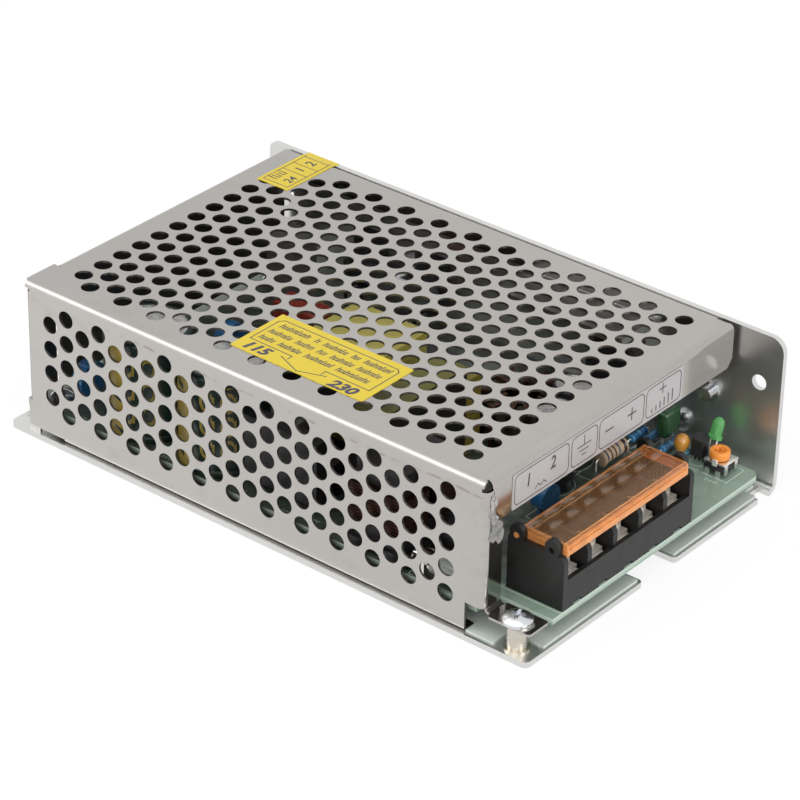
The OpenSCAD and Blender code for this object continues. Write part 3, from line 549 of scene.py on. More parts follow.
def stacked_washers():
    """Terminal screws: the head over its spring washer, with painted shade in the dark gaps between
    them and towards the foot.
    """
    f = Finish("stacked_washers", (0.9, 0.88, 0.85), 0.4, metal=0.6)
    z = f.axes()[2]
    gap_shade = (f.span((z - 15.30).size(), 0.14, 0.05) + f.span((z - 15.95).size(), 0.14, 0.05)
              + f.span((z - 16.55).size(), 0.12, 0.04)).at_most(1.0)
    low = f.span(z, 15.0, 14.6)
    tone = f.mix((0.92, 0.90, 0.87), (0.74, 0.71, 0.66), f.grain(3.0, 3))
    # painted shade: dark lines in the gaps between head, washer and plate, and a little darker
    # towards the foot
    f.feed("Base Color", f.mix(tone, (0.05, 0.048, 0.045), gap_shade * 0.85 + low * 0.1))
    f.feed("Roughness", 0.36 + gap_shade * 0.3 + f.grain(1.5, 2) * 0.05)
    f.bump(gap_shade * -1.0, 0.6, 0.15)
    return f


def amber_plastic():
    """Clear amber plastic of the terminal cover, with a painted orange glow along its rim and ribs.
    """
    f = Finish("amber_plastic", (0.95, 0.6, 0.3), 0.03, Transmission_Weight=0.965, IOR=1.42)
    x, y, z = f.axes()
    flow = f.grain(6, 3, 0.5, (1, 0.3, 1))
    f.feed("Base Color", f.mix((0.98, 0.74, 0.47), (0.97, 0.66, 0.36), flow))
    f.feed("Roughness", 0.01 + f.grain(1.5, 3) * 0.03)
    f.bump(flow, 0.08, 0.05)
    # painted glow: these masks mark the ends, edges and ribs that get a deeper orange, where light
    # runs through the plastic
    ends = f.span((y + 10.6).size(), 22.2, 22.6)
    front = f.between(x, 77.2, 77.5) + f.span(x, 77.9, 78.05) * 0.7 + f.span(x, 76.7, 77.2) * 0.25
    back = f.between(x, 65.7, 66.1) + f.span(x, 65.2, 65.05) * 0.6
    skirt_glow = f.span(z, 23.7, 23.5) * (0.3 + f.span((z * 5.5).wave(), 0.1, 0.7) * 0.5)
    rim = (ends * 0.6 + front * 0.8 + back * 0.7 + skirt_glow).at_most(1.0)
    # painted glow: a deeper orange shader laid over the masked edges
    glow = f.node("ShaderNodeBsdfPrincipled", sockets={
        "Base Color": f.mix((0.92, 0.42, 0.14), (0.80, 0.28, 0.07), f.grain(2.5, 3)),
        "Roughness": 0.15})
    f.lay_over(glow, rim * (0.35 + f.grain(3.5, 2, 0.5) * 0.5))
    return f


def paper(name, colour, shade, gloss=0.32, coat=0.25):
    """Coated label stock, a little uneven over its glue."""
    f = Finish(name, colour, gloss, Coat_Weight=coat)
    cloud = f.grain(9, 4, 0.55)
    f.feed("Base Color", f.mix(colour, shade, cloud * 0.6))
    f.feed("Roughness", gloss + f.grain(1, 3) * 0.12)
    f.bump(cloud + f.grain(0.3, 2) * 0.08, 0.2, 0.04)
    return f


def ink(name, colour):
    f = Finish(name, colour, 0.5)
    f.feed("Base Color", f.mix(colour, tuple(min(1.0, c * 1.6 + 0.01) for c in colour),
                               f.grain(0.35, 3, 0.7)))
    f.feed("Roughness", 0.45 + f.grain(0.6, 2) * 0.15)
    return f


def glassy(name, colour, rough=0.06, ior=1.5, weight=0.9):
    f = Finish(name, colour, rough, Transmission_Weight=weight, IOR=ior)
    haze = f.grain(1.2, 3, 0.6)
    f.feed("Base Color", f.mix(colour, tuple(c * 0.8 for c in colour), haze))
    f.feed("Roughness", rough + haze * 0.08)
    f.bump(haze, 0.1, 0.02)
    return f


def sleeved_can():
    """Bulk capacitors: dark green sleeve with a mustard stripe and marks."""
    f = Finish("sleeved_can", (0.02, 0.05, 0.03), 0.3)
    x, y, z = f.axes()
    (first_x, can_y), (second_x, _) = BULK_CANS
    second = x > (first_x + second_x) / 2
    middle = first_x + second * (second_x - first_x)
    round_angle = f.angle(x - middle, can_y - y)
    start = -0.42 - second * 0.5
    stripe = f.between(round_angle - start, 0.0, 0.64 + second * 0.2)
    dashes = (f.between((z + round_angle * 4.0).cycle(9.0), 1.0, 2.6)
              * f.between(round_angle - start, 0.3, 0.6))
    # plain mustard bows and bars beside the stripe
    across = (round_angle * 11.0 - second * -4.0).cycle(5.2) - 2.6
    upward = z.cycle(6.4) - 3.2
    bow = (across * across + upward * upward * 0.5).power(0.5)
    marks = f.between(bow, 1.25, 1.95) * f.between(across, -2.1, 1.2)
    marks = (marks + f.between(across, 1.25, 1.9) * f.between(upward, -2.2, 1.6)).at_most(1.0)
    marks = marks * f.between(round_angle, 0.16 - second * 0.1, 1.0) * f.between(z, 13.0, 33.0)
    sleeve = f.mix((0.010, 0.026, 0.022), (0.022, 0.045, 0.036), f.grain(4, 3))
    mustard = f.mix((0.36, 0.27, 0.05), (0.28, 0.20, 0.035), f.grain(3, 3))
    sleeve = f.mix(sleeve, mustard, (stripe * (1 - dashes) + marks).at_most(1.0))
    f.feed("Base Color", sleeve)
    f.feed("Roughness", 0.26 + f.grain(2, 3) * 0.15)
    f.bump(f.grain(1.2, 3), 0.15, 0.03)
    return f


def wound_tape(name, colour, shade, step_mm=0.9, axis=2):
    """Winding tape in overlapping turns."""
    f = Finish(name, colour, 0.3, Coat_Weight=0.3)
    along = f.axes()[axis]
    turns = f.span((along + f.grain(8, 2) * 1.6).cycle(step_mm * 7), 0.0, 0.35)
    wrinkle = f.grain(2.2, 4, 0.6, (0.4, 1, 1))
    f.feed("Base Color", f.mix(f.mix(shade, colour, turns), shade, wrinkle * 0.45))
    f.feed("Roughness", 0.24 + wrinkle * 0.2)
    f.bump(turns * 0.5 + wrinkle, 0.4, 0.12)
    return f


def painted_shade_sides():
    """Tall capacitor: olive tape on top, its sides painted near-black as shade."""
    f = Finish("painted_shade_sides", (0.2, 0.2, 0.05), 0.35)
    z = f.axes()[2]
    top = f.span(z, 33.1, 33.4)
    tape = f.mix((0.20, 0.19, 0.045), (0.27, 0.25, 0.06), f.grain(6, 3))
    # painted shade: the sides are painted near-black and only the top keeps the olive tape
    side = f.mix((0.014, 0.013, 0.012), (0.03, 0.028, 0.024), f.grain(3, 3))
    f.feed("Base Color", f.mix(side, tape, top))
    f.feed("Roughness", 0.3 + f.grain(2, 3) * 0.2)
    f.bump(f.grain(2.5, 3), 0.2, 0.05)
    return f


def wound_wire(name, colour, shade, pitch_mm=0.8, axis=2):
    """Enamelled wire lying in turns."""
    f = Finish(name, colour, 0.25, metal=0.9)
    along = f.axes()[axis]
    turn = ((along + f.grain(6, 2) * 0.3) * (math.tau / pitch_mm)).wave()
    f.feed("Base Color", f.mix(shade, colour, f.span(turn, -1.0, 1.0)))
    f.feed("Roughness", 0.22 + f.grain(1.5, 3) * 0.2)
    f.bump(turn, 0.6, 0.12)
    return f


def dark_core():
    f = Finish("dark_core", (0.035, 0.034, 0.036), 0.45)
    fleck = f.grain(0.5, 4, 0.7)
    f.feed("Base Color", f.mix((0.022, 0.022, 0.024), (0.07, 0.068, 0.066),
                               f.span(fleck, 0.4, 0.8)))
    f.feed("Roughness", 0.38 + fleck * 0.2)
    f.bump(fleck, 0.35, 0.05)
    return f


def fuse_glass():
    f = Finish("fuse_glass", (0.7, 0.7, 0.68), 0.15)
    x = f.axes()[0]
    cap = 1 - f.between(x, 48.4, 58.2)
    f.feed("Base Color", f.mix((0.42, 0.44, 0.42), (0.68, 0.66, 0.62), cap))
    f.feed("Metallic", cap)
    f.feed("Roughness", 0.12 + f.grain(1, 3) * 0.15)
    f.bump(f.grain(0.8, 2), 0.1, 0.03)
    return f


steel = bright_sheet()
aluminium = satin_sheet()
film = milky_film()
board = green_board()
black_block = moulded("black_block", (0.0075, 0.0072, 0.007), 0.42, 0.22, 0.03, 0.1,
                      Specular_IOR_Level=0.4)
black_part = moulded("black_part", (0.016, 0.016, 0.017), 0.34, 0.12, 0.012, 0.3)
screw_plate = plated("screw_plate", (0.66, 0.67, 0.69), 0.2, 4.0, (0.62, 0.62, 0.62), 0.2, 0.05)
post_plate = plated("post_plate", (0.58, 0.54, 0.47), 0.2, 1.8, (0.40, 0.34, 0.26), 0.3, 0.08)
tinned = plated("tinned", (0.88, 0.86, 0.83), 0.34, 2.5, (0.68, 0.64, 0.58), 0.25, 0.02, 0.65)
stacked = stacked_washers()
amber = amber_plastic()
white_label = paper("white_label", (0.385, 0.372, 0.376), (0.315, 0.302, 0.305))
yellow_label = paper("yellow_label", (0.635, 0.485, 0.022), (0.575, 0.43, 0.016), 0.4, 0.08)
brown_ink = ink("brown_ink", (0.045, 0.025, 0.022))
grey_ink = ink("grey_ink", (0.035, 0.03, 0.05))
white_ink = ink("white_ink", (0.42, 0.50, 0.44))
orange_part = moulded("orange_part", (0.80, 0.27, 0.035), 0.36, 0.3, 0.02, 0.2)
lamp_green = glassy("lamp_green", (0.24, 0.74, 0.26), 0.1, 1.35, 0.62)
bead_coat = moulded("bead_coat", (0.56, 0.25, 0.03), 0.18, 1.5, 0.04, 0.15, Coat_Weight=0.6)
resistor_coat = moulded("resistor_coat", (0.035, 0.20, 0.42), 0.22, 0.8, 0.02, 0.2, Coat_Weight=0.5)
resistor_pale = moulded("resistor_pale", (0.16, 0.42, 0.50), 0.24, 0.8, 0.02, 0.2, Coat_Weight=0.5)
band_dark = moulded("band_dark", (0.03, 0.012, 0.015), 0.25, 0.8, 0.02, 0.1)
beige_coat = moulded("beige_coat", (0.52, 0.38, 0.24), 0.35, 0.8, 0.04, 0.2)
band_blue = moulded("band_blue", (0.02, 0.05, 0.16), 0.3, 0.8, 0.02, 0.1)
green_coat = moulded("green_coat", (0.018, 0.075, 0.025), 0.2, 1.5, 0.05, 0.2, Coat_Weight=0.5)
blue_coat = moulded("blue_coat", (0.03, 0.17, 0.40), 0.22, 1.5, 0.05, 0.2, Coat_Weight=0.5)
red_coat = moulded("red_coat", (0.30, 0.035, 0.02), 0.22, 1.5, 0.05, 0.2, Coat_Weight=0.4)
orange_coat = moulded("orange_coat", (0.55, 0.14, 0.03), 0.25, 1.5, 0.05, 0.2, Coat_Weight=0.4)
white_ceramic = moulded("white_ceramic", (0.10, 0.097, 0.09), 0.6, 0.5, 0.06, 0.2)
pale_plate = plated("pale_plate", (0.72, 0.71, 0.68), 0.28, 2.0, (0.5, 0.48, 0.44), 0.3)
can_sleeve = sleeved_can()
black_sleeve = moulded("black_sleeve", (0.02, 0.02, 0.024), 0.25, 1.0, 0.03, 0.2, Coat_Weight=0.3)
can_top = plated("can_top", (0.66, 0.66, 0.65), 0.25)
yellow_tape = wound_tape("yellow_tape", (0.66, 0.58, 0.12), (0.48, 0.42, 0.08))
mustard_tape = wound_tape("mustard_tape", (0.42, 0.33, 0.06), (0.26, 0.20, 0.035))
capped_tape = painted_shade_sides()
core_paint = moulded("core_paint", (0.05, 0.05, 0.028), 0.4, 0.6, 0.05, 0.2)
copper_turns = wound_wire("copper_turns", (0.10, 0.045, 0.028), (0.03, 0.014, 0.01))
copper_wire = wound_wire("copper_wire", (0.16, 0.08, 0.05), (0.06, 0.028, 0.018), 6.0)
ferrite = dark_core()
red_slider = moulded("red_slider", (0.50, 0.03, 0.02), 0.35)
fuse_body = fuse_glass()
clear_glue = glassy("clear_glue", (0.95, 0.95, 0.94), 0.1, 1.25, 0.85)

dress(steel, "perforated_cover")
dress(aluminium, "chassis", "heat_sink")
dress(film, "insulating_sheet")
dress(board, "circuit_board")
dress(post_plate, "tall_standoff", "board_standoffs")
dress(screw_plate, "board_screws", "tab_screw", "cover_screws", "wall_screws", "transistor_clamp")
dress(black_block, "terminal_block")
dress(tinned, "terminal_plates", *[f"clamp_washer_{i}" for i in range(1, 6)])
dress(stacked, *[f"terminal_screw_{i}" for i in range(1, 6)])
dress(amber, "terminal_cover")
dress(white_label, "legend_label")
dress(yellow_label, "voltage_label", "date_label")
dress(lamp_green, "indicator_lamp")
dress(black_part, "small_transistor", "thermistor", "choke_core", "bridge_rectifier",
      "selector_body", "switching_transistors", "output_rectifier", "control_chip", "trimmer_body")
dress(orange_part, "trimmer_rotor")
dress(bead_coat, "bead_capacitor")
dress(resistor_coat, "small_resistors")
dress(beige_coat, "power_resistor")
dress(green_coat, "film_capacitor")
dress(blue_coat, "varistor", "disc_capacitors")
dress(fuse_body, "fuse")
dress(copper_turns, "choke_windings")
dress(can_sleeve, "bulk_capacitors")
dress(black_sleeve, "output_capacitors")
dress(ferrite, "transformer_core")
dress(yellow_tape, "transformer_winding")
dress(mustard_tape, "driver_transformer")
dress(capped_tape, "line_capacitor")
dress(orange_coat, "snubber_capacitor")
dress(red_coat, "blocking_capacitor")
dress(white_ceramic, "cement_resistor")
dress(red_slider, "selector_slider")
dress(core_paint, "inductor_core")
dress(copper_wire, "inductor_winding")


# ---------------------------------------------------------------- print on the labels


def draw_words(bm, y, ends, tall=1.25, line=0.3, pitch=0.62, lean=0.22, turn=False):
    """Rows of small slanted ticks that stand for words."""
    for start, end in zip(ends[::2], ends[1::2]):
        count = max(2, round((end - start) / pitch))
        for i in range(count):
            at = start + (i + 0.5) * (end - start) / count
            rise = tall * (1.35 if i % 4 == 0 else 1.0)
            a, b = (at - lean * rise / 2, y - tall / 2), (at + lean * rise / 2, y - tall / 2 + rise)
            if turn:
                a, b = (-a[1], a[0]), (-b[1], b[0])
            draw_stroke(bm, *a, *b, line)
            if i % 3 != 2 and i + 1 < count:
                step = (end - start) / count
                low = y - tall / 2 + (0.15 if i % 2 else tall - 0.15)
                a, b = (at, low), (at + step, low)
                if turn:
                    a, b = (-a[1], a[0]), (-b[1], b[0])
                draw_stroke(bm, *a, *b, line * 0.6)


def legend_print():
    """Four rounded cells on the front label, with plain marks over the terminals."""
    bm = bmesh.new()
    low, high = 31.85, 39.75
    for left, right in ((-38.3, -18.35), (-17.55, -7.7), (-7.1, 10.2), (10.9, 24.7)):
        draw_plate(bm, left, low, right, high, 1.5, 0.24)
    draw_figure(bm, "1", -33.3, 36.4, 4.6, 0.12, 0.9, 0.07)
    draw_figure(bm, "2", -24.3, 36.9, 4.6, 0.12, 0.9, 0.07)
    # alternating supply
    for x in (-30.6, -28.6):
        draw_stroke(bm, x, 33.1, x + 1.0, 34.0, 0.24)
        draw_stroke(bm, x + 1.0, 34.0, x + 2.0, 33.1, 0.24)
    # protective earth
    draw_stroke(bm, -12.7, 36.3, -12.7, 38.7, 0.26)
    for half, height in ((2.5, 36.3), (1.6, 35.1), (0.7, 33.9)):
        draw_stroke(bm, -12.7 - half, height, -12.7 + half, height, 0.26)
    # minus and plus
    draw_stroke(bm, -4.6, 35.9, -1.8, 35.9, 0.38)
    draw_stroke(bm, 3.9, 36.2, 6.9, 36.2, 0.38)
    draw_stroke(bm, 5.4, 34.7, 5.4, 37.7, 0.38)
    # trimmer: plus over a rising row of bars
    draw_stroke(bm, 16.2, 37.7, 18.6, 37.7, 0.3)
    draw_stroke(bm, 17.4, 36.5, 17.4, 38.9, 0.3)
    for step in range(6):
        draw_stroke(bm, 13.4 + step * 1.6, 32.9, 13.4 + step * 1.6, 33.5 + step * 0.42, 0.38)
    # from the XY plane to the face of the lip
    turn = Matrix(((0, 0, 1, LABEL_X * MM), (1, 0, 0, 0), (0, 1, 0, 0), (0, 0, 0, 1)))
    print_sheet(bm, PRINT_T, turn)
    make_piece("legend_print", bm, [brown_ink])


def voltage_print():
    """A frame, rows of ticks and the two figures of the selector."""
    bm = bmesh.new()
    lines = [(-15.1, -33.3, -15.1, -23.0), (-15.1, -33.3, -2.1, -33.5), (-2.1, -33.5, -2.1, -35.1),
             (8.2, -35.3, 8.2, -33.7), (8.2, -33.7, 21.2, -33.9), (21.2, -33.9, 21.2, -23.2),
             (-14.1, -21.95, 20.1, -22.15), (-4.0, -35.1, 2.9, -37.9), (2.9, -37.9, 9.8, -35.4),
             (-15.1, -23.0, -14.1, -21.95), (20.1, -22.15, 21.2, -23.2)]
    for x0, y0, x1, y1 in lines:
        draw_stroke(bm, x0, y0, x1, y1, 0.26)
    rows = [(-24.4, (-13.4, -4.6, -2.9, -1.5, -0.2, 6.9, 8.3, 10.6, 12.0, 19.9)),
            (-27.8, (-14.0, -7.2, -5.8, -0.6, 0.7, 3.4, 4.7, 11.4, 12.7, 19.6)),
            (-31.2, (-14.0, -9.5, -8.2, -1.6, -0.2, 8.0, 9.3, 18.8))]
    for height, ends in rows:
        draw_words(bm, height, ends)
    draw_figure(bm, "115", -10.9, -36.1, 4.3, 0.22, 1.15, 0.2)
    draw_figure(bm, "230", 15.6, -36.7, 4.3, 0.22, 1.15, 0.2)
    print_sheet(bm, PRINT_T, Matrix.Translation(mm(0, 0, LABEL_TOP)))
    make_piece("voltage_print", bm, [grey_ink])


def date_print():
    """Cells with plain figures on the small yellow label."""
    bm = bmesh.new()
    left, right = -66.4, -58.5
    for x in (left, right):
        draw_stroke(bm, x, 30.0, x, 46.6, 0.22)
    for y in (30.0, 37.4, 41.6, 45.9):
        draw_stroke(bm, left, y, right, y, 0.22)
    draw_figure(bm, "1", -62.4, 39.5, 4.0, 0.0, 1.0, 0.06, 90)
    draw_figure(bm, "2", -62.4, 43.8, 4.0, 0.0, 1.0, 0.06, 90)
    draw_figure(bm, "24", -60.5, 33.7, 3.4, 0.0, 1.0, 0.06, 90)
    draw_words(bm, 64.6, (31.2, 36.2), 2.0, 0.3, 1.0, 0.0, turn=True)
    print_sheet(bm, PRINT_T, Matrix.Translation(mm(0, 0, LABEL_TOP)))
    make_piece("date_print", bm, [grey_ink])


def board_print():
    """White outlines round the parts on the board."""
    bm = bmesh.new()
    for x0, y0, x1, y1 in ((68.2, 33.4, 75.4, 40.9), (49.2, 32.2, 52.4, 40.9),
                           (54.9, 32.0, 57.9, 41.4), (59.7, 32.7, 62.8, 39.3),
                           (46.2, 31.2, 49.2, 40.4), (46.2, 13.2, 51.6, 29.8),
                           (62.2, -36.1, 78.7, 14.9), (48.4, -9.4, 53.2, -0.6),
                           (42.9, -45.6, 62.8, -39.4), (44.9, -37.9, 50.1, -26.8)):
        draw_plate(bm, x0, y0, x1, y1, 0.0, 0.17)
    for x, y, radius in ((*OUTPUT_CANS[0], 5.6), (*OUTPUT_CANS[1], 5.6), (64.5, 37.7, 2.9),
                         (65.5, 41.0, 1.2), (24.5, 20.5, 11.8)):
        draw_ring(bm, x, y, radius, 0.17)
    # short marks in place of part names
    for x, y, length in ((70.6, 31.6, 3.6), (50.2, 43.2, 3.0), (64.8, 33.4, 2.6),
                         (63.6, 18.5, 2.4), (57.0, 16.5, 2.8), (66.5, -43.0, 2.0),
                         (54.6, -13.0, 2.6), (56.5, 4.0, 3.0), (68.0, 24.0, 3.2),
                         (-60.0, -44.2, 2.6), (-33.0, -44.6, 3.2), (-10.0, -43.5, 2.8),
                         (4.0, -44.0, 3.2), (12.0, -42.6, 2.6), (24.0, -44.4, 3.0),
                         (36.0, -44.0, 3.4), (44.0, -38.4, 2.6), (52.0, -36.5, 3.0)):
        for step in range(3):
            start = x + step * length / 3
            draw_stroke(bm, start, y - 0.45, start, y + 0.45, 0.16)
            draw_stroke(bm, start, y + 0.45, start + length / 5, y + 0.2, 0.16)
    print_sheet(bm, 0.03, Matrix.Translation(mm(0, 0, BOARD_TOP)))
    make_piece("board_print", bm, [white_ink])


legend_print()
voltage_print()
date_print()
board_print()


# ---------------------------------------------------------------- small parts


def resistor_body(bm, x, y0, y1, d, z, coat, bands, overhang):
    """A dipped resistor with swollen ends, painted bands and bent leads."""
    r = d / 2
    length = y1 - y0
    cap = min(1.1, length * 0.22)
    profile = [(0.0, 0.0), (r * 0.55, 0.03), (r * 0.88, 0.18), (r, cap * 0.5),
               (r * 0.96, cap * 0.85), (r * 0.84, cap + 0.15)]
    waist = [cap + 0.15 + (length - 2 * cap - 0.3) * i / 14 for i in range(1, 14)]
    profile += [(r * 0.84, h) for h in waist]
    profile += [(rr, length - h) for rr, h in reversed(profile[:6])]
    cut = [(b - 0.5 * (waist[1] - waist[0]) * 1.05, b + 0.5 * (waist[1] - waist[0]) * 1.05, i)
           for b, i in bands]
    turned(bm, profile, (x, y0, z), "y", 24, coat, cut)
    for tip, side in ((y0, -1), (y1, 1)):
        foot = tip + side * overhang
        wire(bm, bent([(x, tip - side * 0.3, z), (x, foot - side * 0.25, z),
                       (x, foot - side * 0.25, BOARD_TOP + 0.02)], 0.5), 0.24, 8, 5)


def resistors():
    bm = bmesh.new()
    for x, y0, y1, d, z, coat, overhang in ((56.4, 33.4, 40.1, 2.2, 9.5, 0, 1.4),
                                            (61.2, 33.9, 37.9, 2.0, 9.3, 1, 0.9),
                                            (47.9, 32.6, 38.8, 2.2, 9.5, 0, 1.4),
                                            (50.9, 34.4, 39.3, 2.2, 9.5, 0, 1.4)):
        length = y1 - y0
        bands = [(length * 0.16, 2), (length * 0.36, 2), (length * 0.52, 1 - coat),
                 (length * 0.66, 2), (length * 0.84, 3)]
        resistor_body(bm, x, y0, y1, d, z, coat, bands, overhang)
    make_piece("banded_resistors", bm,
               [resistor_coat, resistor_pale, band_dark, band_blue, beige_coat, tinned],
               replaces=["small_resistors"], smooth=50)


def large_resistor():
    bm = bmesh.new()
    resistor_body(bm, 48.9, 18.4, 28.0, 4.5, 10.8, 4,
                  [(1.3, 3), (3.2, 2), (4.6, 2), (6.0, 3), (8.3, 2)], 1.2)
    make_piece("load_resistor", bm,
               [resistor_coat, resistor_pale, band_dark, band_blue, beige_coat, tinned],
               replaces=["power_resistor"], smooth=50)


def bead():
    """Dipped bead that runs down into its two leads."""
    bm = bmesh.new()
    profile = [(0.0, -3.1), (0.5, -2.95), (0.9, -2.5), (1.35, -1.7), (1.85, -0.8), (2.1, 0.1),
               (2.0, 1.0), (1.55, 1.85), (0.85, 2.35), (0.0, 2.5)]
    turned(bm, profile, (60.9, 35.2, 12.4), "z", 24, 0)
    bmesh.ops.scale(bm, vec=(0.88, 1.0, 1.0), verts=bm.verts[:],
                    space=Matrix.Translation(-mm(60.9, 35.2, 12.4)))
    for side in (-1, 1):
        wire(bm, bent([(60.9, 35.2 + side * 0.3, 9.6), (60.3, 35.2 + side * 0.8, 9.0),
                       (59.85, 35.2 + side * 0.9, BOARD_TOP + 0.02)], 0.4), 0.2, 8, 1)
    make_piece("dipped_bead", bm, [bead_coat, tinned],
               replaces=["bead_capacitor"], smooth=60)


def film_box():
    """Dipped film capacitor with soft corners."""
    bm = bmesh.new()
    slab(bm, (52.0, 36.6, 10.0), (55.2, 43.2, 17.2), 1.1, 4)
    for y in (37.9, 41.9):
        wire(bm, [(53.6, y, 10.4), (53.6, y, BOARD_TOP + 0.02)], 0.3, 8, 1)
    make_piece("dipped_film_box", bm, [green_coat, tinned],
               replaces=["film_capacitor"], smooth=60)


def trimmer():
    """Open trimmer: stamped pale plate over a black base on folded legs."""
    bm = bmesh.new()
    slab(bm, (68.2, 33.9, 9.1), (73.9, 39.7, 10.6), 0.25, 2, 1)
    slab(bm, (68.5, 34.1, 10.55), (73.5, 39.5, 11.3), 0.2, 2, 1)
    slab(bm, (68.0, 34.0, 11.2), (74.2, 39.9, 11.75), 0.22, 2, 0)
    for y in (34.1, 38.1):
        slab(bm, (73.7, y + 0.2, 8.9), (74.25, y + 1.4, 11.4), 0.12, 2, 0)
    for x in (68.9, 71.9):
        slab(bm, (x, 33.55, 8.02), (x + 1.3, 34.05, 10.2), 0.12, 2, 0)
        slab(bm, (x - 0.1, 33.5, 10.0), (x + 1.4, 34.3, 10.5), 0.1, 2, 1)
    slab(bm, (70.6, 33.75, 10.8), (72.0, 34.4, 12.5), 0.15, 2, 2)
    slab(bm, (70.4, 39.4, 8.02), (71.7, 39.9, 10.2), 0.12, 2, 0)
    make_piece("trimmer_frame", bm, [pale_plate, black_part, tinned],
               replaces=["trimmer_body"], smooth=40)

    bm = bmesh.new()
    cx, cy = 70.9, 36.6
    profile = [(0.0, 12.75), (1.25, 12.75), (1.38, 12.85), (1.45, 13.9), (1.55, 14.05),
               (2.3, 14.05), (2.5, 13.85), (2.5, 12.2), (2.3, 11.95), (0.0, 11.95)]
    turned(bm, profile, (cx, cy, 0), "z", 40, 0)
    # four lugs leave a cross for the screwdriver
    for quarter in range(4):
        before = set(bm.verts)
        slab(bm, (0.3, 0.3, 12.7), (1.15, 1.15, 13.75), 0.15, 2, 0)
        turn = (Matrix.Translation(mm(cx, cy, 0))
                @ Matrix.Rotation(math.radians(25 + 90 * quarter), 4, "Z"))
        bmesh.ops.transform(bm, matrix=turn, verts=[v for v in bm.verts if v not in before])
    make_piece("trimmer_dial", bm, [orange_part], "rotor", ["trimmer_rotor"], 45)


def lamp():
    """Clear green lens over its cup and post, leaning to the wall."""
    bm = bmesh.new()
    profile = [(0.0, 0.0), (1.75, 0.0), (1.85, 0.15), (1.85, 0.85), (1.7, 0.95), (1.5, 1.0),
               (1.48, 3.9), (1.38, 4.5), (1.05, 5.05), (0.55, 5.38), (0.0, 5.5)]
    turned(bm, profile, (0, 0, 0), "z", 32, 0)
    inner = [(0.0, 1.2), (0.35, 1.2), (0.35, 2.4), (0.7, 2.9), (0.5, 3.0), (0.0, 2.8)]
    turned(bm, inner, (0, 0, 0), "z", 16, 1)
    tilt = Matrix.Translation(mm(65.5, 42.2, 12.3)) @ Matrix.Rotation(math.radians(-20), 4, "X")
    bmesh.ops.transform(bm, matrix=tilt, verts=bm.verts[:])
    for side in (-1, 1):
        x = 65.5 + side * 0.9
        wire(bm, bent([(x, 42.4, 13.4), (x, 41.95, 12.2), (x, 41.4, 10.8),
                       (x, 41.4, BOARD_TOP + 0.02)], 0.6), 0.25, 8, 1)
    make_piece("lamp_lens", bm, [lamp_green, tinned],
               replaces=["indicator_lamp"], smooth=50)


def capacitor_cans():
    """Sleeved cans with a groove under the rim and a scored top."""
    for name, spots, radius, height, sleeve, node, slot in (
            ("bulk_cans", BULK_CANS, 11.0, 27.0, can_sleeve,
             "bulk_capacitors", "can_green"),
            ("output_cans", OUTPUT_CANS, 5.0, 21.0, black_sleeve,
             "output_capacitors", "can_black")):
        bm = bmesh.new()
        r, h = radius, height
        profile = [(0.0, 0.02), (r * 0.9, 0.02), (r * 0.97, 0.3), (r, 0.8), (r, 1.6),
                   (r * 0.95, 2.1), (r * 0.95, 2.5), (r, 3.0), (r, h - 0.8),
                   (r * 0.97, h - 0.2), (r * 0.93, h), (r * 0.86, h),
                   (r * 0.85, h - 0.25), (0.0, h - 0.25)]
        for x, y in spots:
            turned(bm, profile, (x, y, BOARD_TOP), "z", 48, 0, [(h - 0.3, h - 0.1, 1)])
            for angle in (0, 60, 120):
                turn = (Matrix.Translation(mm(x, y, 0))
                        @ Matrix.Rotation(math.radians(angle), 4, "Z"))
                made = slab(bm, (-r * 0.6, -0.12, BOARD_TOP + h - 0.3),
                            (r * 0.6, 0.12, BOARD_TOP + h - 0.2), 0, 1, 1)
                bmesh.ops.transform(bm, matrix=turn, verts=made)
        make_piece(name, bm, [sleeve, can_top], replaces=[node], smooth=40)


def glue_dab():
    """Clear crumpled glue at the top of the front flange."""
    bm = bmesh.new()
    for y, z, rise, width, tall in ((-45.9, 35.4, 0.45, 0.9, 3.2), (-45.3, 31.6, 0.6, 1.2, 2.4),
                                    (-44.4, 28.9, 0.8, 1.7, 2.1), (-43.1, 27.0, 0.7, 1.3, 2.3),
                                    (-45.5, 27.9, 0.6, 1.1, 2.0)):
        place = (Matrix.Translation(mm(LIP_X + 0.05, y, z))
                 @ Matrix.Diagonal((rise, width, tall, 1)))
        made = bmesh.ops.create_icosphere(bm, subdivisions=4, radius=MM, matrix=place)
        for v in made["verts"]:
            push = noise.noise(v.co * 1300) * 0.5 + noise.noise(v.co * 520) * 0.7
            v.co += Vector((0.35, 0.7, 0.7)) * push * MM
            v.co.x = max(v.co.x, (LIP_X + 0.01) * MM)
    make_piece("flange_glue", bm, [clear_glue], smooth=60)


resistors()
large_resistor()
bead()
film_box()
trimmer()
lamp()
capacitor_cans()
glue_dab()

round_edges(0.18, "terminal_block")
round_edges(0.12, "small_transistor")
round_edges(0.35, "varistor", "disc_capacitors", "snubber_capacitor", "thermistor", segments=3)
round_edges(0.1, "tab_screw", *[f"terminal_screw_{i}" for i in range(1, 6)], angle=50.0)
round_edges(0.12, "terminal_cover")


# ---------------------------------------------------------------- floor, light and camera


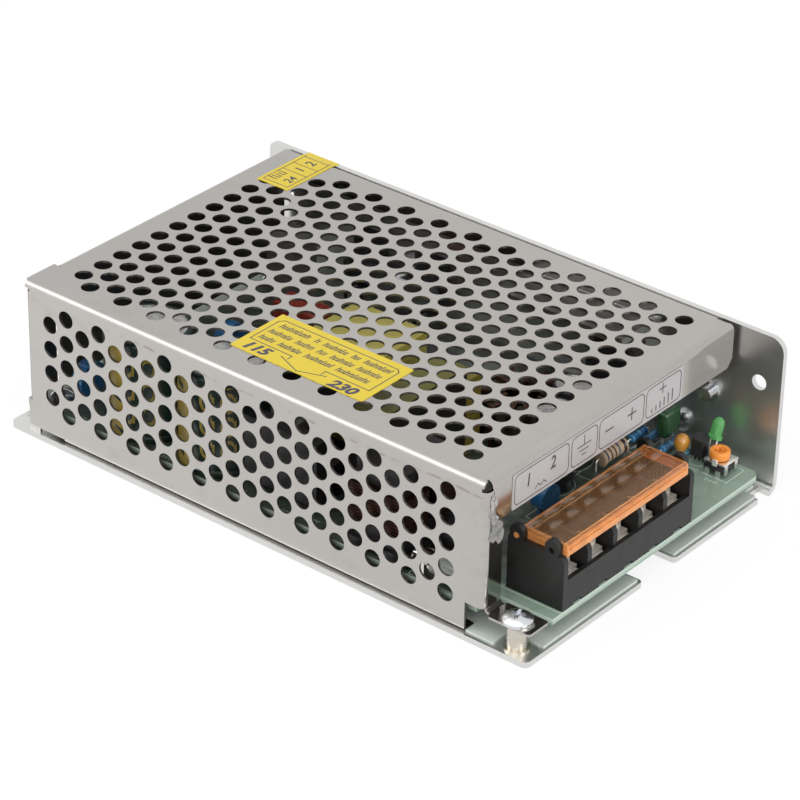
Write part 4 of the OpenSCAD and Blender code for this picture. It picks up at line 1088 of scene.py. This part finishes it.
def studio():
    """Pale floor and a plain bright surround."""
    bm = bmesh.new()
    bmesh.ops.create_grid(bm, x_segments=1, y_segments=1, size=4.0,
                          matrix=Matrix.Translation((0, 0, -0.0003)))
    mesh = bpy.data.meshes.new("floor")
    bm.to_mesh(mesh)
    bm.free()
    floor = bpy.data.objects.new("floor", mesh)
    bpy.context.scene.collection.objects.link(floor)
    f = Finish("pale_floor", (0.94, 0.94, 0.94), 0.9)
    glow = f.node("ShaderNodeEmission", sockets={"Color": (1, 1, 1), "Strength": 1.0})
    f.lay_over(glow, f.seen() * FLOOR_GLOW)
    mesh.materials.append(f.material)

    world = bpy.data.worlds.new("surround")
    bpy.context.scene.world = world
    world.use_nodes = True
    sky = Graph(world.node_tree)
    back = sky.tree.nodes["Background"]
    sky.plug(back.inputs["Color"], (1, 1, 1))
    sky.plug(back.inputs["Strength"], sky.span(sky.seen(), 0.0, 1.0, SURROUND_LIGHT, 1.0))

    for name, spot, aim, size, power in (
            ("key_panel", (0.35, -0.80, 1.20), (0, 0, 0), 1.4, 11.5),
            ("front_panel", (1.25, -0.1, 0.42), (0.07, -0.01, 0.02), 0.7, 6.5),
            ("bend_panel", (-0.62, -0.60, 0.80), (0, -0.05, 0.04), 0.7, 4.2)):
        lamp_data = bpy.data.lights.new(name, "AREA")
        lamp_data.shape = "SQUARE"
        lamp_data.size = size
        lamp_data.energy = power
        panel = bpy.data.objects.new(name, lamp_data)
        bpy.context.scene.collection.objects.link(panel)
        panel.location = spot
        panel.rotation_euler = (Vector(aim) - Vector(spot)).to_track_quat("-Z", "Y").to_euler()


def camera():
    """Long lens from the near corner of the open end."""
    eye, aim, roll = mm(456.2, -565.9, 446.2), mm(4.27, -1.46, 18.67), 1.205
    data = bpy.data.cameras.new("camera")
    data.lens, data.sensor_width = 158.64, 36.0
    data.clip_start, data.clip_end = 0.05, 20.0
    view = bpy.data.objects.new("camera", data)
    bpy.context.scene.collection.objects.link(view)
    turn = (aim - eye).to_track_quat("-Z", "Y").to_matrix().to_4x4()
    view.matrix_world = (Matrix.Translation(eye) @ turn
                         @ Matrix.Rotation(math.radians(roll), 4, "Z"))
    bpy.context.scene.camera = view


studio()
camera()
bpy.context.scene.view_settings.view_transform = "Standard"
